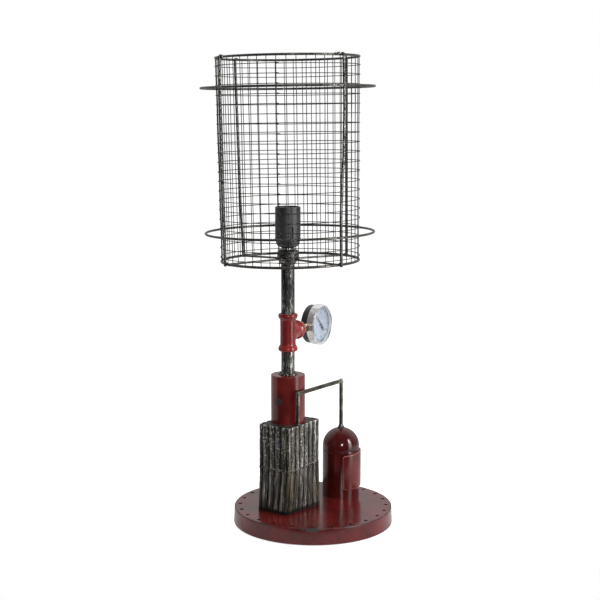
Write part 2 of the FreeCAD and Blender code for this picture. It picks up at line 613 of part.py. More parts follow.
def gauge():
    case = gauge_turned("gauge_case_cup", [
        (0, 0), ("gauge_case_radius - 1.2", 0), ("gauge_case_radius", 1.2),
        ("gauge_case_radius", "case_depth"), ("gauge_case_radius - gauge_case_wall", "case_depth"),
        ("gauge_case_radius - gauge_case_wall", "gauge_case_wall"), (0, "gauge_case_wall")], "gauge_back")
    stem_hole = gauge_rod("stem_hole", "stem_radius + 0.1", 12, "-gauge_case_radius - 4", "0", "tube_z",
                          ALONG_BRANCH)
    keep(cut("case_holed", case, stem_hole), "gauge_case")
    bezel = gauge_turned("gauge_bezel", [
        ("gauge_case_radius + 0.1", "bezel_low"), ("gauge_radius", "bezel_low"),
        ("gauge_radius", "gauge_front - 1.6"), ("gauge_radius - 1.6", "gauge_front"),
        ("bezel_inner + 0.6", "gauge_front"), ("bezel_inner", "gauge_front - 0.8"),
        ("bezel_inner", "glass_low + glass_sheet"), ("gauge_case_radius + 0.1", "glass_low + glass_sheet")])
    keep(bezel, "gauge_bezel")
    glass = gauge_turned("gauge_glass", [
        (0, 0), ("gauge_case_radius", 0), ("gauge_case_radius", "glass_sheet"), (0, "glass_sheet")],
        "glass_low")
    keep(glass, "gauge_glass")
    dial = gauge_turned("gauge_dial_disc", [
        ("arbor_radius + 0.6", 0), ("dial_radius", 0), ("dial_radius", "dial_sheet"),
        ("arbor_radius + 0.6", "dial_sheet")], "dial_z")
    keep(dial, "gauge_dial")
    seat = gauge_turned("dial_seat_ring", [
        ("dial_radius - 1.6", "case_depth + gauge_back"), ("gauge_case_radius", "case_depth + gauge_back"),
        ("gauge_case_radius", "dial_z - 0.02"), ("dial_radius - 1.6", "dial_z - 0.02")])
    keep(seat, "dial_seat")

    tip_angle = 133.5
    needle = [("needle_tip", -0.25), ("needle_tip", 0.25), (2.6, 0.7), (2.2, 2), (-2.2, 2), (-3, 1.5),
              ("-needle_tail", 1.9), ("-needle_tail", -1.9), (-3, -1.5), (-2.2, -2), (2.2, -2), (2.6, -0.7)]
    keep(gauge_padded("needle", needle, "needle_sheet", z="needle_z",
                      turn=Rotation(Vector(0, 0, 1), tip_angle)), "gauge_pointer")
    shaft = gauge_rod("arbor_shaft", "arbor_radius", "needle_z - movement_back + 0.2", z="movement_back - 0.2")
    pinion = gauge_rod("pinion", "pinion_radius", 3, z="sector_z - 0.9")
    keep(fuse("arbor", [shaft, pinion]), "pointer_arbor")

    pivot_y = "-sector_drop"
    swing = 43.5
    points = [(0, 0)]
    for step in range(9):
        a = math.radians(90 + 3 - (swing + 3) * step / 8)
        points.append((f"sector_radius * {math.cos(a)}", f"sector_radius * {math.sin(a)}"))
    fan = gauge_padded("sector_fan", points, "sector_sheet", y=pivot_y, z="sector_z")
    tail_angle = math.radians(-65)
    tail_x, tail_y = math.cos(tail_angle), math.sin(tail_angle)
    tail = gauge_padded("sector_tail", [
        (f"{-0.9 * tail_y}", f"{0.9 * tail_x}"), (f"{0.9 * tail_y}", f"{-0.9 * tail_x}"),
        (f"tail_length * {tail_x} + {0.9 * tail_y}", f"tail_length * {tail_y} - {0.9 * tail_x}"),
        (f"tail_length * {tail_x} - {0.9 * tail_y}", f"tail_length * {tail_y} + {0.9 * tail_x}")],
        "sector_sheet", y=pivot_y, z="sector_z")
    hub = gauge_rod("sector_hub", 1.9, "sector_sheet", y=pivot_y, z="sector_z")
    sector_shaft = gauge_rod("sector_shaft", "arbor_radius",
                             "movement_front + movement_sheet - movement_back + 0.6", y=pivot_y,
                             z="movement_back - 0.6")
    pin = gauge_rod("tail_pin", 0.5, "link_z + 0.9 - sector_z", f"tail_length * {tail_x}",
                    f"-sector_drop + tail_length * {tail_y}", "sector_z")
    keep(fuse("sector", [fan, tail, hub, sector_shaft, pin]), "sector_gear")

    reach = "link_length"
    bar = gauge_padded("link_bar", [
        (0, -0.9), (reach, -0.9), (reach, 0.9), (0, 0.9)], 0.8,
        f"tail_length * {tail_x}", f"-sector_drop + tail_length * {tail_y}", "link_z",
        Rotation(Vector(0, 0, 1), 15))
    eye = gauge_rod("link_eye", 1.2, 0.8, f"tail_length * {tail_x}",
                    f"-sector_drop + tail_length * {tail_y}", "link_z")
    eye_hole = gauge_rod("link_eye_hole", "0.5 + running_gap", 0.8, f"tail_length * {tail_x}",
                         f"-sector_drop + tail_length * {tail_y}", "link_z")
    keep(cut("link", fuse("link_solid", [bar, eye]), eye_hole), "tip_link")

    ring = doc.addObject("Part::Torus", "spring_tube")
    bind(ring, Radius1="tube_circle", Radius2="tube_radius")
    ring.Angle3 = 222
    in_gauge(ring, z="tube_z", turn=Rotation(Vector(0, 0, 1), -52))

    plates = []
    for name, z in (("back_plate", "movement_back - movement_sheet"), ("front_plate", "movement_front")):
        blank = gauge_padded(name, [(-6, -17.3), (6, -17.3), (6, 6), (-6, 6)], "movement_sheet", z=z)
        holes = fuse(name + "_holes", [
            gauge_rod(name + "_arbor_hole", "arbor_radius + running_gap", "movement_sheet", z=z),
            gauge_rod(name + "_sector_hole", "arbor_radius + running_gap", "movement_sheet", y=pivot_y, z=z)])
        plates.append(cut(name + "_holed", blank, holes))
    pillars = [
        gauge_rod(f"pillar{i}", 1.1, "movement_front - movement_back", x, y, "movement_back")
        for i, (x, y) in enumerate(((-4.6, 4.6), (4.6, 4.6)))]
    keep(fuse("movement", plates + pillars), "movement_frame")

    stem = gauge_rod("stem", "stem_radius", "gauge_reach - tee_reach - tube_circle + 9",
                     "-gauge_reach + tee_reach - 9", "0", "tube_z", ALONG_BRANCH)
    block_reach = "gauge_reach - tee_reach - 6.1 - gauge_radius - 0.4"
    half = "block_width / 2"
    collar = gauge_padded("wrench_flats", [
        (f"-{half}", f"-{half}"), (half, f"-{half}"), (half, half), (f"-{half}", half)], block_reach,
        "-gauge_reach + tee_reach + 6.1", "0", "tube_z", ALONG_BRANCH)
    brass = keep(fuse("stem_solid", [stem, collar]), "gauge_stem")
    keep(cut("spring_tube_trimmed", ring, brass), "bourdon_tube")

    corners = [(f"bush_hex * {math.cos(math.radians(a))}", f"bush_hex * {math.sin(math.radians(a))}")
               for a in range(0, 360, 60)]
    head = gauge_padded("bush_head", corners, 6, "-gauge_reach + tee_reach", "0", "tube_z", ALONG_BRANCH)
    plug = gauge_rod("bush_plug", "pipe_radius", "tee_socket - 0.5",
                     "-gauge_reach + tee_reach - tee_socket + 0.5", "0", "tube_z", ALONG_BRANCH)
    bush_hole = gauge_rod("bush_hole", "stem_radius + thread_gap", "tee_socket + 8",
                          "-gauge_reach + tee_reach - tee_socket - 1", "0", "tube_z", ALONG_BRANCH)
    keep(cut("bush", fuse("bush_solid", [head, plug]), bush_hole), "reducing_bush")


def tank():
    axis = ("tank_x", "tank_y")
    wall = "tank_wall"
    keep(tube("tank_tube", "tank_radius", f"tank_radius - {wall}", "tank_seam - base_height", *axis,
              "base_height"), "tank_body")
    sphere = bind(doc.addObject("Part::Sphere", "dome_ball"), Radius="tank_radius")
    put(sphere, *axis, "tank_seam + dome_skirt")
    skirt = rod("dome_side", "tank_radius", "dome_skirt", *axis, "tank_seam")
    hollow = bind(doc.addObject("Part::Sphere", "dome_hollow_ball"), Radius=f"tank_radius - {wall}")
    put(hollow, *axis, "tank_seam + dome_skirt")
    hollow_side = rod("dome_hollow_side", f"tank_radius - {wall}", "dome_skirt", *axis, "tank_seam")
    below = rod("dome_below", "tank_radius + 1", "2 * tank_radius", *axis, "tank_seam - 2 * tank_radius")
    dome = cut("dome_shell", fuse("dome_solid", [sphere, skirt]), fuse("dome_hollow", [hollow, hollow_side]))
    keep(cut("dome", dome, below), "tank_dome")

    ring = tube("plate_ring", "tank_radius + plate_thick", "tank_radius + 0.05",
                "plate_top - plate_low + plate_rise",
                *axis, "plate_low - plate_rise / 2")
    for edge in (ring.Base, ring.Tool):
        edge.Angle = SIZES["plate_sweep"]
        edge.Placement = Placement(Vector(0, 0, 0), Rotation(Vector(0, 0, 1), SIZES["plate_from"]))
        put(edge, *axis, "plate_low - plate_rise / 2")
    keep(ring, "tank_plate")


def tie_rod():
    corners = [
        Vector(size("tank_x"), size("tank_y"), size("tank_seam + dome_skirt + tank_radius")),
        Vector(size("tank_x"), size("tank_y"), size("rod_z")),
        Vector(size("rod_foot_x"), size("rod_foot_y"), size("rod_z")),
        Vector(size("rod_foot_x"), size("rod_foot_y"), size("box_top")),
    ]
    route = doc.addObject("Part::Polygon", "rod_route")
    route.Nodes = corners
    section = bind(doc.addObject("Part::Circle", "rod_section"), Radius="rod_radius")
    section.Placement = Placement(corners[0], Rotation())
    doc.recompute()
    sweep = doc.addObject("Part::Sweep", "rod_sweep")
    sweep.Sections = [section]
    sweep.Spine = (route, ["Edge1", "Edge2", "Edge3"])
    sweep.Solid = True
    sweep.Transition = "Right corner"
    keep(sweep, "tie_rod")

    weld = bind(doc.addObject("Part::Cone", "foot_weld_cone"), Radius1="foot_weld",
                Radius2="rod_radius + 0.3", Height="foot_weld / 2")
    put(weld, "rod_foot_x", "rod_foot_y", "box_top")
    bore = rod("foot_weld_bore", "rod_radius + 0.02", "foot_weld", "rod_foot_x", "rod_foot_y",
               "box_top")
    wall = rod("foot_weld_clear", "sleeve_radius + 0.02", "foot_weld", "pole_x", "pole_y",
               "box_top")
    keep(cut("rod_weld", weld, fuse("rod_weld_clear", [bore, wall])), "rod_foot_weld")


base()
box()
pole()
tee()
spider_and_collar()
lampholder()
shade()
gauge()
tank()
tie_rod()
doc.recompute()

for obj in doc.Objects:
    assert not {"Invalid", "Error"} & set(obj.State), (obj.Name, obj.State)
for node, obj in parts.items():
    assert not obj.Shape.isNull() and obj.Shape.isValid() and obj.Shape.Solids, node

os.makedirs("parts", exist_ok=True)
for node, obj in parts.items():
    obj.Shape.exportStep(f"parts/{node}.step")
print(len(parts), "sub-parts")
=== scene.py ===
"""Looks of the pipe table lamp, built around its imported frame.

Shapes are given in millimetres in the row frame and turned into metres when a piece is made.
"""

import json
from math import copysign, cos, pi, radians, sin, sqrt, tau

import bmesh
import bpy
from mathutils import Matrix, Vector, noise

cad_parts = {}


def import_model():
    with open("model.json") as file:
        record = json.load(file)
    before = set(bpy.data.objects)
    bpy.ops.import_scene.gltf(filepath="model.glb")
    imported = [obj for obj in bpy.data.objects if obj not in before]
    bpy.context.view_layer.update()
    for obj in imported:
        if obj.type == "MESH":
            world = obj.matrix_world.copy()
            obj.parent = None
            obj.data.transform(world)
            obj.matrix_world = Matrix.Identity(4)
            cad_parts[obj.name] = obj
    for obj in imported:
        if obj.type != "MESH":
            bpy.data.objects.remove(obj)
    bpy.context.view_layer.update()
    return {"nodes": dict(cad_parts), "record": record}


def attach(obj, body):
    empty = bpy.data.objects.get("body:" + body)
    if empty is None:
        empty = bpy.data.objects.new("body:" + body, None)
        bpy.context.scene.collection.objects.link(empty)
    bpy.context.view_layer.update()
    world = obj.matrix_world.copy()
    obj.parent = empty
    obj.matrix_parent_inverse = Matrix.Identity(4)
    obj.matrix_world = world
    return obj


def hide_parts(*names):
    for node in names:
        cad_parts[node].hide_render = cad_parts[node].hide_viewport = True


MM = 0.001

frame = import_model()
nodes = frame["nodes"]


class Graph:
    """A node tree, with short ways to add the nodes that the finishes use."""

    def __init__(self, name, library="materials", coordinates="Object"):
        self.owner = getattr(bpy.data, library).new(name)
        self.owner.use_nodes = True
        self.tree = self.owner.node_tree
        self.shader = self.tree.nodes.get("Principled BSDF")
        self.place = self.add("ShaderNodeTexCoord").outputs[coordinates]

    def add(self, kind, inputs=None, **settings):
        """A node with its settings, and its inputs by name or number."""
        node = self.tree.nodes.new(kind)
        for key, value in settings.items():
            setattr(node, key, value)
        for key, value in (inputs or {}).items():
            self.feed(node.inputs[key], value)
        return node

    def feed(self, socket, value):
        if isinstance(value, bpy.types.NodeSocket):
            self.tree.links.new(value, socket)
        else:
            socket.default_value = (*value, 1) if socket.type == "RGBA" else value

    def math(self, operation, a, b=0.0, clamp=False):
        return self.add("ShaderNodeMath", {0: a, 1: b}, operation=operation, use_clamp=clamp).outputs[0]

    def plus(self, a, b):
        return self.math("ADD", a, b)

    def minus(self, a, b):
        return self.math("SUBTRACT", a, b)

    def times(self, a, b):
        return self.math("MULTIPLY", a, b)

    def most(self, a, b):
        return self.math("MAXIMUM", a, b)

    def weigh(self, *terms):
        """The sum of values times their weights."""
        products = [self.times(value, weight) for value, weight in terms]
        total = products[0]
        for product in products[1:]:
            total = self.plus(total, product)
        return total

    def vector(self, operation, a, b=(0, 0, 0)):
        """A product of two vectors, or the number that another vector operation gives."""
        node = self.add("ShaderNodeVectorMath", {0: a, 1: b}, operation=operation)
        return node.outputs["Vector" if operation == "MULTIPLY" else "Value"]

    def part(self, vector, axis):
        """The X, Y or Z part of a vector."""
        return self.add("ShaderNodeSeparateXYZ", {0: vector}).outputs[axis]

    def level(self):
        """The place with its height taken out."""
        return self.vector("MULTIPLY", self.place, (1, 1, 0))

    def height(self, low, high):
        """A share that goes from 0 to 1 between two heights in millimetres."""
        return self.step(self.part(self.place, "Z"), low * MM, high * MM)

    def normal(self):
        return self.add("ShaderNodeNewGeometry").outputs["Normal"]

    def mark(self):
        """The value that a shape's points carry."""
        return self.add("ShaderNodeAttribute", attribute_name="mark").outputs["Fac"]

    def rays(self, one, other):
        """1 for the rays of two kinds."""
        path = self.add("ShaderNodeLightPath").outputs
        return self.most(path[f"Is {one} Ray"], path[f"Is {other} Ray"])

    def seen(self):
        """1 where the surface is seen directly or through glass."""
        return self.rays("Camera", "Transmission")

    def noise(self, scale, detail=3.0, rough=0.5, stretch=(1, 1, 1), shift=0.0, warp=0.0):
        """Noise with features of about 1 / scale metres, drawn out where stretch is small."""
        moved = {"Vector": self.place, "Scale": stretch, "Location": (shift, shift, shift)}
        inputs = {"Vector": self.add("ShaderNodeMapping", moved).outputs[0], "Scale": scale,
                  "Detail": detail, "Roughness": rough, "Distortion": warp}
        return self.add("ShaderNodeTexNoise", inputs).outputs["Fac"]

    def ramp(self, value, *stops):
        """Colours at places from 0 to 1."""
        node = self.add("ShaderNodeValToRGB", {0: value})
        spots = node.color_ramp.elements
        while len(spots) < len(stops):
            spots.new(0.5)
        for spot, (place, colour) in zip(spots, stops):
            spot.position = place
            spot.color = (*colour, 1)
        return node.outputs[0]

    def step(self, value, low, high, start=0.0, end=1.0, curve="SMOOTHSTEP"):
        """Start up to a low value, end from a high one, and a curve between them."""
        inputs = {"Value": value, "From Min": low, "From Max": high, "To Min": start, "To Max": end}
        return self.add("ShaderNodeMapRange", inputs, interpolation_type=curve).outputs[0]

    def mix(self, share, a, b):
        """Colour a, going to colour b where the share is 1."""
        return self.add("ShaderNodeMix", {0: share, 6: a, 7: b}, data_type="RGBA").outputs[2]

    def edge(self, radius):
        """0 on flat places, rising towards 1 at edges that are sharper than the radius."""
        soft = self.add("ShaderNodeBevel", {"Radius": radius}, samples=4).outputs[0]
        dot = self.vector("DOT_PRODUCT", soft, self.normal())
        return self.math("SUBTRACT", 1.0, dot, clamp=True)

    def spots(self, places):
        """A mask of round patches at (x, y, z, radius) in millimetres, with ragged rims."""
        ragged = self.times(self.noise(330, 3, 0.6), 1.1)
        total = 0.0
        for x, y, z, radius in places:
            away = self.vector("DISTANCE", self.place, (x * MM, y * MM, z * MM))
            near = self.plus(self.math("DIVIDE", away, radius * MM), ragged)
            total = self.most(total, self.step(near, 1.35, 1.85, 1.0, 0.0))
        return total

    def bump(self, value, distance, under=None, strength=1.0):
        """A surface normal raised by a value, up to a distance in millimetres."""
        inputs = {"Height": value, "Distance": distance * MM, "Strength": strength}
        if under is not None:
            inputs["Normal"] = under
        return self.add("ShaderNodeBump", inputs).outputs[0]

    def finish(self, **sockets):
        for name, value in sockets.items():
            self.feed(self.shader.inputs[name.replace("_", " ")], value)
        return self.owner

    def metal(self, share, stops, metallic, rough, bump):
        """A metal whose colour and roughness follow one share; rough holds a step's numbers."""
        return self.finish(Base_Color=self.ramp(share, *stops), Metallic=metallic,
                           Roughness=self.step(share, *rough), Normal=bump)


RED = (0.118, 0.0092, 0.0085)
DEEP_RED = (0.066, 0.0058, 0.0052)
BROWN_RED = (0.070, 0.018, 0.013)
# A paler red for a painted highlight.
HIGHLIGHT_RED = (0.42, 0.16, 0.14)
PRIMER = (0.018, 0.016, 0.015)
SLEEVE_CHIPS = [(-52.3, 24.3, 186, 4.6), (-51.6, 22.0, 183.5, 3.4)]
RIM_CHIPS = [(-103.1, -53.7, 25.0, 2.6), (-99.6, -59.8, 25.0, 3.4), (-96.2, -65.1, 25.0, 4.6),
             (-93.4, -69.1, 25.0, 3.6), (-90.9, -72.3, 25.0, 2.2), (-104.6, 51.5, 14.0, 2.0)]


def bared(g, chips, edge_wear, rim):
    """Where paint is gone: at edges, in flecks, at chips and along a line at a rim radius."""
    edge = g.edge(0.0011)
    ragged = g.noise(240, 4, 0.65, shift=1.7)
    worn = g.step(g.plus(g.times(edge, 2.2), ragged), 1.28 - edge_wear, 1.5 - edge_wear)
    bare = g.times(worn, g.step(edge, 0.02, 0.10))
    flecks = g.step(g.noise(520, 2, 0.5, shift=9.2), 0.735, 0.76)
    bare = g.most(g.most(bare, flecks), g.spots(chips))
    if rim:
        off = g.math("ABSOLUTE", g.minus(g.vector("LENGTH", g.level()), rim * MM))
        line = g.times(g.step(off, 0.0003, 0.0009, 1.0, 0.0), g.height(23.6, 24.2))
        broken = g.step(g.noise(120, 4, 0.65, shift=31.0), 0.40, 0.52)
        bare = g.most(bare, g.times(line, broken))
    return bare


def enamel(name, chips=(), edge_wear=0.5, painted_light_scale=1.0, rim=None, shine=0.14):
    """Glossy red enamel, clouded, with dark primer where the paint is gone; its red is scaled into lit and
    shaded copies of one paint (painted light and shade), and marked points get a painted highlight.
    """
    g = Graph(name)
    cloud = g.noise(28, 3, 0.55)
    streak = g.noise(70, 4, 0.6, (1, 1, 0.25), shift=3.1)
    # Painted light and shade: the red is scaled up or down for each piece.
    deep, full = (tuple(painted_light_scale * c for c in colour) for colour in (DEEP_RED, RED))
    paint = g.mix(g.step(cloud, 0.35, 0.65), deep, full)
    paint = g.mix(g.step(streak, 0.52, 0.8, 0.0, 0.55), paint, BROWN_RED)
    # Painted highlight: a paler red where points carry a mark, along the tank plate's edge.
    paint = g.mix(g.times(g.mark(), 0.42), paint, HIGHLIGHT_RED)
    bare = bared(g, chips, edge_wear, rim)
    smear = g.noise(45, 4, 0.6, (1, 1, 0.4), shift=5.5)
    rough = g.plus(g.step(smear, 0.3, 0.75, shine, shine + 0.11), g.times(bare, 0.3))
    waves = g.bump(g.noise(85, 2, 0.4), 0.12)
    chipped = g.bump(g.minus(1.0, bare), 0.18, waves)
    grain = g.bump(g.noise(1500, 2, 0.5), 0.012, chipped)
    return g.finish(Base_Color=g.mix(bare, paint, PRIMER), Roughness=rough, Normal=grain,
                    Specular_IOR_Level=0.40)


def iron_pipe():
    """Black scale rubbed through to bright metal in fine drawn-out specks."""
    g = Graph("rubbed_pipe_iron")
    patch = g.noise(60, 3, 0.55, (1, 1, 0.45), warp=0.2)
    scratch = g.noise(560, 4, 0.65, (1, 1, 0.22), shift=2.0)
    share = g.weigh((scratch, 0.72), (patch, 0.38))
    stops = ((0.38, (0.010, 0.010, 0.009)), (0.54, (0.038, 0.036, 0.034)),
             (0.62, (0.20, 0.195, 0.185)), (0.74, (0.70, 0.69, 0.665)))
    pitted = g.bump(g.noise(420, 4, 0.65, shift=7.0), 0.12)
    layered = g.bump(g.step(share, 0.53, 0.66), 0.05, pitted, 0.7)
    return g.metal(share, stops, 0.80, (0.45, 0.7, 0.42, 0.22), layered)


BOX_CORNER = (-66.5, -4.7)
BLUE_FILM = (0.062, 0.062, 0.076)
OIL_BROWN = (0.090, 0.070, 0.036)
OCHRE = (0.21, 0.185, 0.105)
RUST = (0.15, 0.06, 0.026)
GLINT = (0.74, 0.72, 0.67)
SHADOW = (0.007, 0.006, 0.006)
FOOT_SHADOW = (0.008, 0.007, 0.007)
SHEET_TONES = ((0.36, (0.026, 0.023, 0.018)), (0.50, (0.090, 0.083, 0.072)),
               (0.60, (0.22, 0.21, 0.19)), (0.74, (0.76, 0.745, 0.71)))


def burnt_panels(g):
    """1 on the panels with painted shade: upper ones that face left and lower ones that do not."""
    left = g.step(g.part(g.normal(), "X"), -0.25, -0.75)
    return g.math("ABSOLUTE", g.minus(g.plus(left, g.height(82, 96)), 1.0))


def sheet_sparks(g, cloud):
    """Painted glints: bright grains, thicker on the upper tier, and along the torn lips at the top and the
    seam.
    """
    spark = g.step(g.noise(560, 3, 0.65, (1, 1, 0.7), shift=21.0), 0.565, 0.62)
    spark = g.times(spark, g.step(cloud, 0.40, 0.60, 0.35, 1.0))
    spark = g.times(spark, g.height(64, 104))
    seam = g.times(g.height(87.2, 88.4), g.height(91.6, 90.2))
    lip = g.most(g.height(150.2, 151.6), seam)
    torn = g.step(g.noise(420, 3, 0.6, shift=27.0), 0.50, 0.58)
    return g.most(spark, g.times(lip, torn))


def sheet_colour(g, share):
    """Steel tones under a blue film, oily brown, ochre runs by the near corner, and rust."""
    hue = g.noise(60, 2, 0.5, (1, 1, 0.1), shift=12.0)
    colour = g.mix(g.step(hue, 0.48, 0.66, 0.0, 0.4), g.ramp(share, *SHEET_TONES), BLUE_FILM)
    low = g.height(104, 74)
    stain = g.step(g.noise(62, 4, 0.6, (1, 1, 0.22), shift=8.8), 0.50, 0.68, 0.0, 0.6)
    colour = g.mix(g.times(stain, low), colour, OIL_BROWN)
    away = g.vector("DISTANCE", g.level(), (BOX_CORNER[0] * MM, BOX_CORNER[1] * MM, 0))
    near = g.step(away, 0.006, 0.015, 1.0, 0.0)
    runs = g.step(g.noise(150, 3, 0.55, (1, 1, 0.10), shift=15.0, warp=0.25), 0.52, 0.62)
    colour = g.mix(g.times(g.times(runs, near), 0.85), colour, OCHRE)
    rust = g.step(g.noise(140, 3, 0.6, (1, 1, 0.3), shift=6.1), 0.66, 0.74, 0.0, 0.6)
    return g.mix(g.times(rust, low), colour, RUST)


def corrugated_steel():
    """Dark weathered sheet: painted shade in the valleys and at the foot, rubbed crests, painted glints and
    stains.
    """
    g = Graph("weathered_sheet")
    valley = g.mark()
    lines = g.noise(620, 5, 0.65, (1, 1, 0.05), warp=0.1)
    grit = g.noise(900, 3, 0.7, (1, 1, 0.6), shift=4.4)
    cloud = g.noise(34, 3, 0.6, (1, 1, 0.5), shift=1.2)
    share = g.weigh((lines, 0.7), (grit, 0.3), (g.minus(cloud, 0.5), 0.5))
    share = g.plus(share, g.step(valley, 0.01, 0.10, 0.10, 0.0))
    # Painted shade: the sheet is darker on some panels, by which way they face and their tier.
    share = g.minus(share, g.times(burnt_panels(g), 0.072))
    spark = sheet_sparks(g, cloud)
    # Painted shade: near black in the valleys and at the foot of the box.
    shadow = g.most(g.step(valley, 0.34, 0.60, 0.0, 0.97), g.step(valley, 0.14, 0.34, 0.0, 0.45))
    foot = g.step(g.plus(g.height(37, 25), g.times(cloud, 0.5)), 0.6, 1.1, 0.0, 0.9)
    # Painted glints in a pale metal colour.
    colour = g.mix(g.times(spark, 0.85), sheet_colour(g, share), GLINT)
    colour = g.mix(foot, g.mix(shadow, colour, SHADOW), FOOT_SHADOW)
    rough = g.plus(g.step(share, 0.42, 0.7, 0.42, 0.24), g.times(shadow, 0.3))
    fine = g.bump(lines, 0.42, g.bump(grit, 0.34))
    metallic = g.minus(0.85, g.times(spark, 0.55))
    return g.finish(Base_Color=colour, Metallic=metallic, Roughness=rough, Normal=fine)


def mottled(name, patches, stops, metallic, rough, grain, depth):
    """A metal with a blotched skin; patches and grain are settings of their noises."""
    g = Graph(name)
    return g.metal(g.noise(*patches), stops, metallic, rough, g.bump(g.noise(*grain), depth))


def plate_steel():
    """The dark top plate of the box: oily brown-black with a soft shine."""
    stops = ((0.3, (0.016, 0.012, 0.010)), (0.55, (0.036, 0.027, 0.021)),
             (0.75, (0.085, 0.070, 0.056)))
    return mottled("dark_plate", (60, 4, 0.6), stops, 0.25, (0.3, 0.7, 0.50, 0.66), (260, 4, 0.6), 0.16)


def bar_steel():
    """Bare drawn bar of the tie rod, grey with a brown film."""
    g = Graph("bar_steel")
    film = g.noise(110, 4, 0.6, (0.3, 0.3, 0.3), warp=0.4)
    scratch = g.noise(900, 3, 0.6, (0.3, 1, 0.3), shift=3.0)
    stops = ((0.35, (0.030, 0.027, 0.022)), (0.52, (0.10, 0.092, 0.075)), (0.68, (0.46, 0.44, 0.39)))
    bump = g.bump(g.noise(420, 4, 0.65), 0.10)
    return g.metal(g.weigh((film, 0.7), (scratch, 0.3)), stops, 0.95, (0.35, 0.65, 0.38, 0.22), bump)


def weld_metal():
    """Rough weld beads, dark with bright spatter."""
    stops = ((0.40, (0.020, 0.019, 0.018)), (0.56, (0.10, 0.095, 0.088)), (0.70, (0.62, 0.60, 0.57)))
    return mottled("weld_metal", (420, 4, 0.65), stops, 0.9, (0.4, 0.7, 0.45, 0.25),
                   (520, 4, 0.65, (1, 1, 1), 2.2), 0.28)


def wire_steel(name, dark, light, rough):
    """Bare steel wire with a dull mottled skin."""
    return mottled(name, (260, 4, 0.6), ((0.34, dark), (0.66, light)), 0.8,
                   (0.3, 0.7, rough + 0.12, rough), (700, 3, 0.6), 0.06)


def moulded(name, colour, rough, scale=900, depth=0.02):
    """A moulded or coated surface with a faint grain and handling marks."""
    g = Graph(name)
    cloud = g.noise(60, 3, 0.5)
    lighter = tuple(min(1.0, c * 1.35 + 0.004) for c in colour)
    shade = g.mix(g.step(cloud, 0.35, 0.7), colour, lighter)
    smear = g.step(cloud, 0.3, 0.7, rough, rough + 0.12)
    return g.finish(Base_Color=shade, Roughness=smear, Normal=g.bump(g.noise(scale, 2, 0.5), depth))


def plated(name, colour, dull, rough, metallic=1.0):
    """A bright metal with fine lines and faint tarnish."""
    g = Graph(name)
    tarnish = g.noise(130, 4, 0.6)
    lines = g.noise(1400, 2, 0.5, shift=1.0)
    tint = g.mix(g.step(tarnish, 0.42, 0.72), colour, dull)
    brushed = g.step(lines, 0.3, 0.7, rough, rough + 0.1)
    return g.finish(Base_Color=tint, Metallic=metallic, Roughness=brushed, Normal=g.bump(lines, 0.012))


def clear_glass():
    """Glass with a faint haze that lets shadow and diffuse rays straight through."""
    g = Graph("gauge_glass_clear")
    haze = g.noise(90, 3, 0.6)
    bright = g.ramp(haze, (0.3, (0.93, 0.96, 0.98)), (0.7, (0.98, 0.99, 1.0)))
    g.finish(Base_Color=bright, Roughness=g.step(haze, 0.4, 0.8, 0.0, 0.05), Transmission_Weight=1.0,
             IOR=1.45)
    clear = g.add("ShaderNodeBsdfTransparent").outputs[0]
    both = g.add("ShaderNodeMixShader", {0: g.rays("Shadow", "Diffuse"), 1: g.shader.outputs[0], 2: clear})
    g.feed(g.tree.nodes["Material Output"].inputs["Surface"], both.outputs[0])
    return g.owner


def around(angle, radius, height=0.0):
    """The point at an angle and a radius about the Z axis."""
    return Vector((radius * cos(angle), radius * sin(angle), height))


class Shape:
    """Points and faces in millimetres, gathered into one mesh."""

    def __init__(self):
        self.points = []
        self.faces = []
        self.marks = None

    def add(self, points, faces):
        first = len(self.points)
        self.points += [Vector(p) for p in points]
        self.faces += [[first + i for i in face] for face in faces]

    def grid(self, rows, close_rows=False, close_columns=False, caps=False):
        """Quads between equal rows of points."""
        tall, wide = len(rows), len(rows[0])
        faces = []
        for r in range(tall if close_rows else tall - 1):
            for c in range(wide if close_columns else wide - 1):
                below, above = r * wide, (r + 1) % tall * wide
                right = (c + 1) % wide
                faces.append([below + c, below + right, above + right, above + c])
        if caps:
            faces.append(list(range(wide))[::-1])
            faces.append([(tall - 1) * wide + c for c in range(wide)])
        self.add([p for row in rows for p in row], faces)

    def tube(self, path, radius, sides=8, closed=False):
        """A round tube along points; radius is one number or one for each point."""
        radii = radius if isinstance(radius, list) else [radius] * len(path)
        rings, side = [], None
        count = len(path)
        turns = [tau * k / sides for k in range(sides)]
        for i, spot in enumerate(path):
            ahead = path[(i + 1) % count] if closed or i < count - 1 else spot
            behind = path[i - 1] if closed or i > 0 else spot
            run = (ahead - behind).normalized()
            side = run.orthogonal() if side is None else side - run * side.dot(run)
            side.normalize()
            up = run.cross(side)
            rings.append([spot + (side * cos(t) + up * sin(t)) * radii[i] for t in turns])
        self.grid(rings, close_rows=closed, close_columns=True, caps=not closed)

    def lathe(self, profile, place, sides=96, offset=None, closed=True):
        """Turn (radius, height) corners about the Z axis of a placement matrix."""
        rows = []
        for k in range(sides):
            turn = tau * k / sides
            row = []
            for radius, height in profile:
                reach = radius + (offset(turn, height, radius) if offset else 0.0)
                row.append(place @ around(turn, reach, height))
            rows.append(row)
        self.grid(rows, close_rows=True, close_columns=closed)

    def blob(self, centre, radii, seed, rough=0.25):
        """A lump of weld with an uneven skin."""
        ball = bmesh.new()
        bmesh.ops.create_icosphere(ball, subdivisions=3, radius=1.0)
        points = []
        for v in ball.verts:
            swell = 1 + rough * noise.noise(v.co * 2.2 + Vector((seed, seed * 0.7, -seed)))
            points.append(Vector(centre) + Vector(c * r * swell for c, r in zip(v.co, radii)))
        self.add(points, [[v.index for v in f.verts] for f in ball.faces])
        ball.free()


def linked(name, data):
    """A new object in the scene."""
    obj = bpy.data.objects.new(name, data)
    bpy.context.scene.collection.objects.link(obj)
    return obj


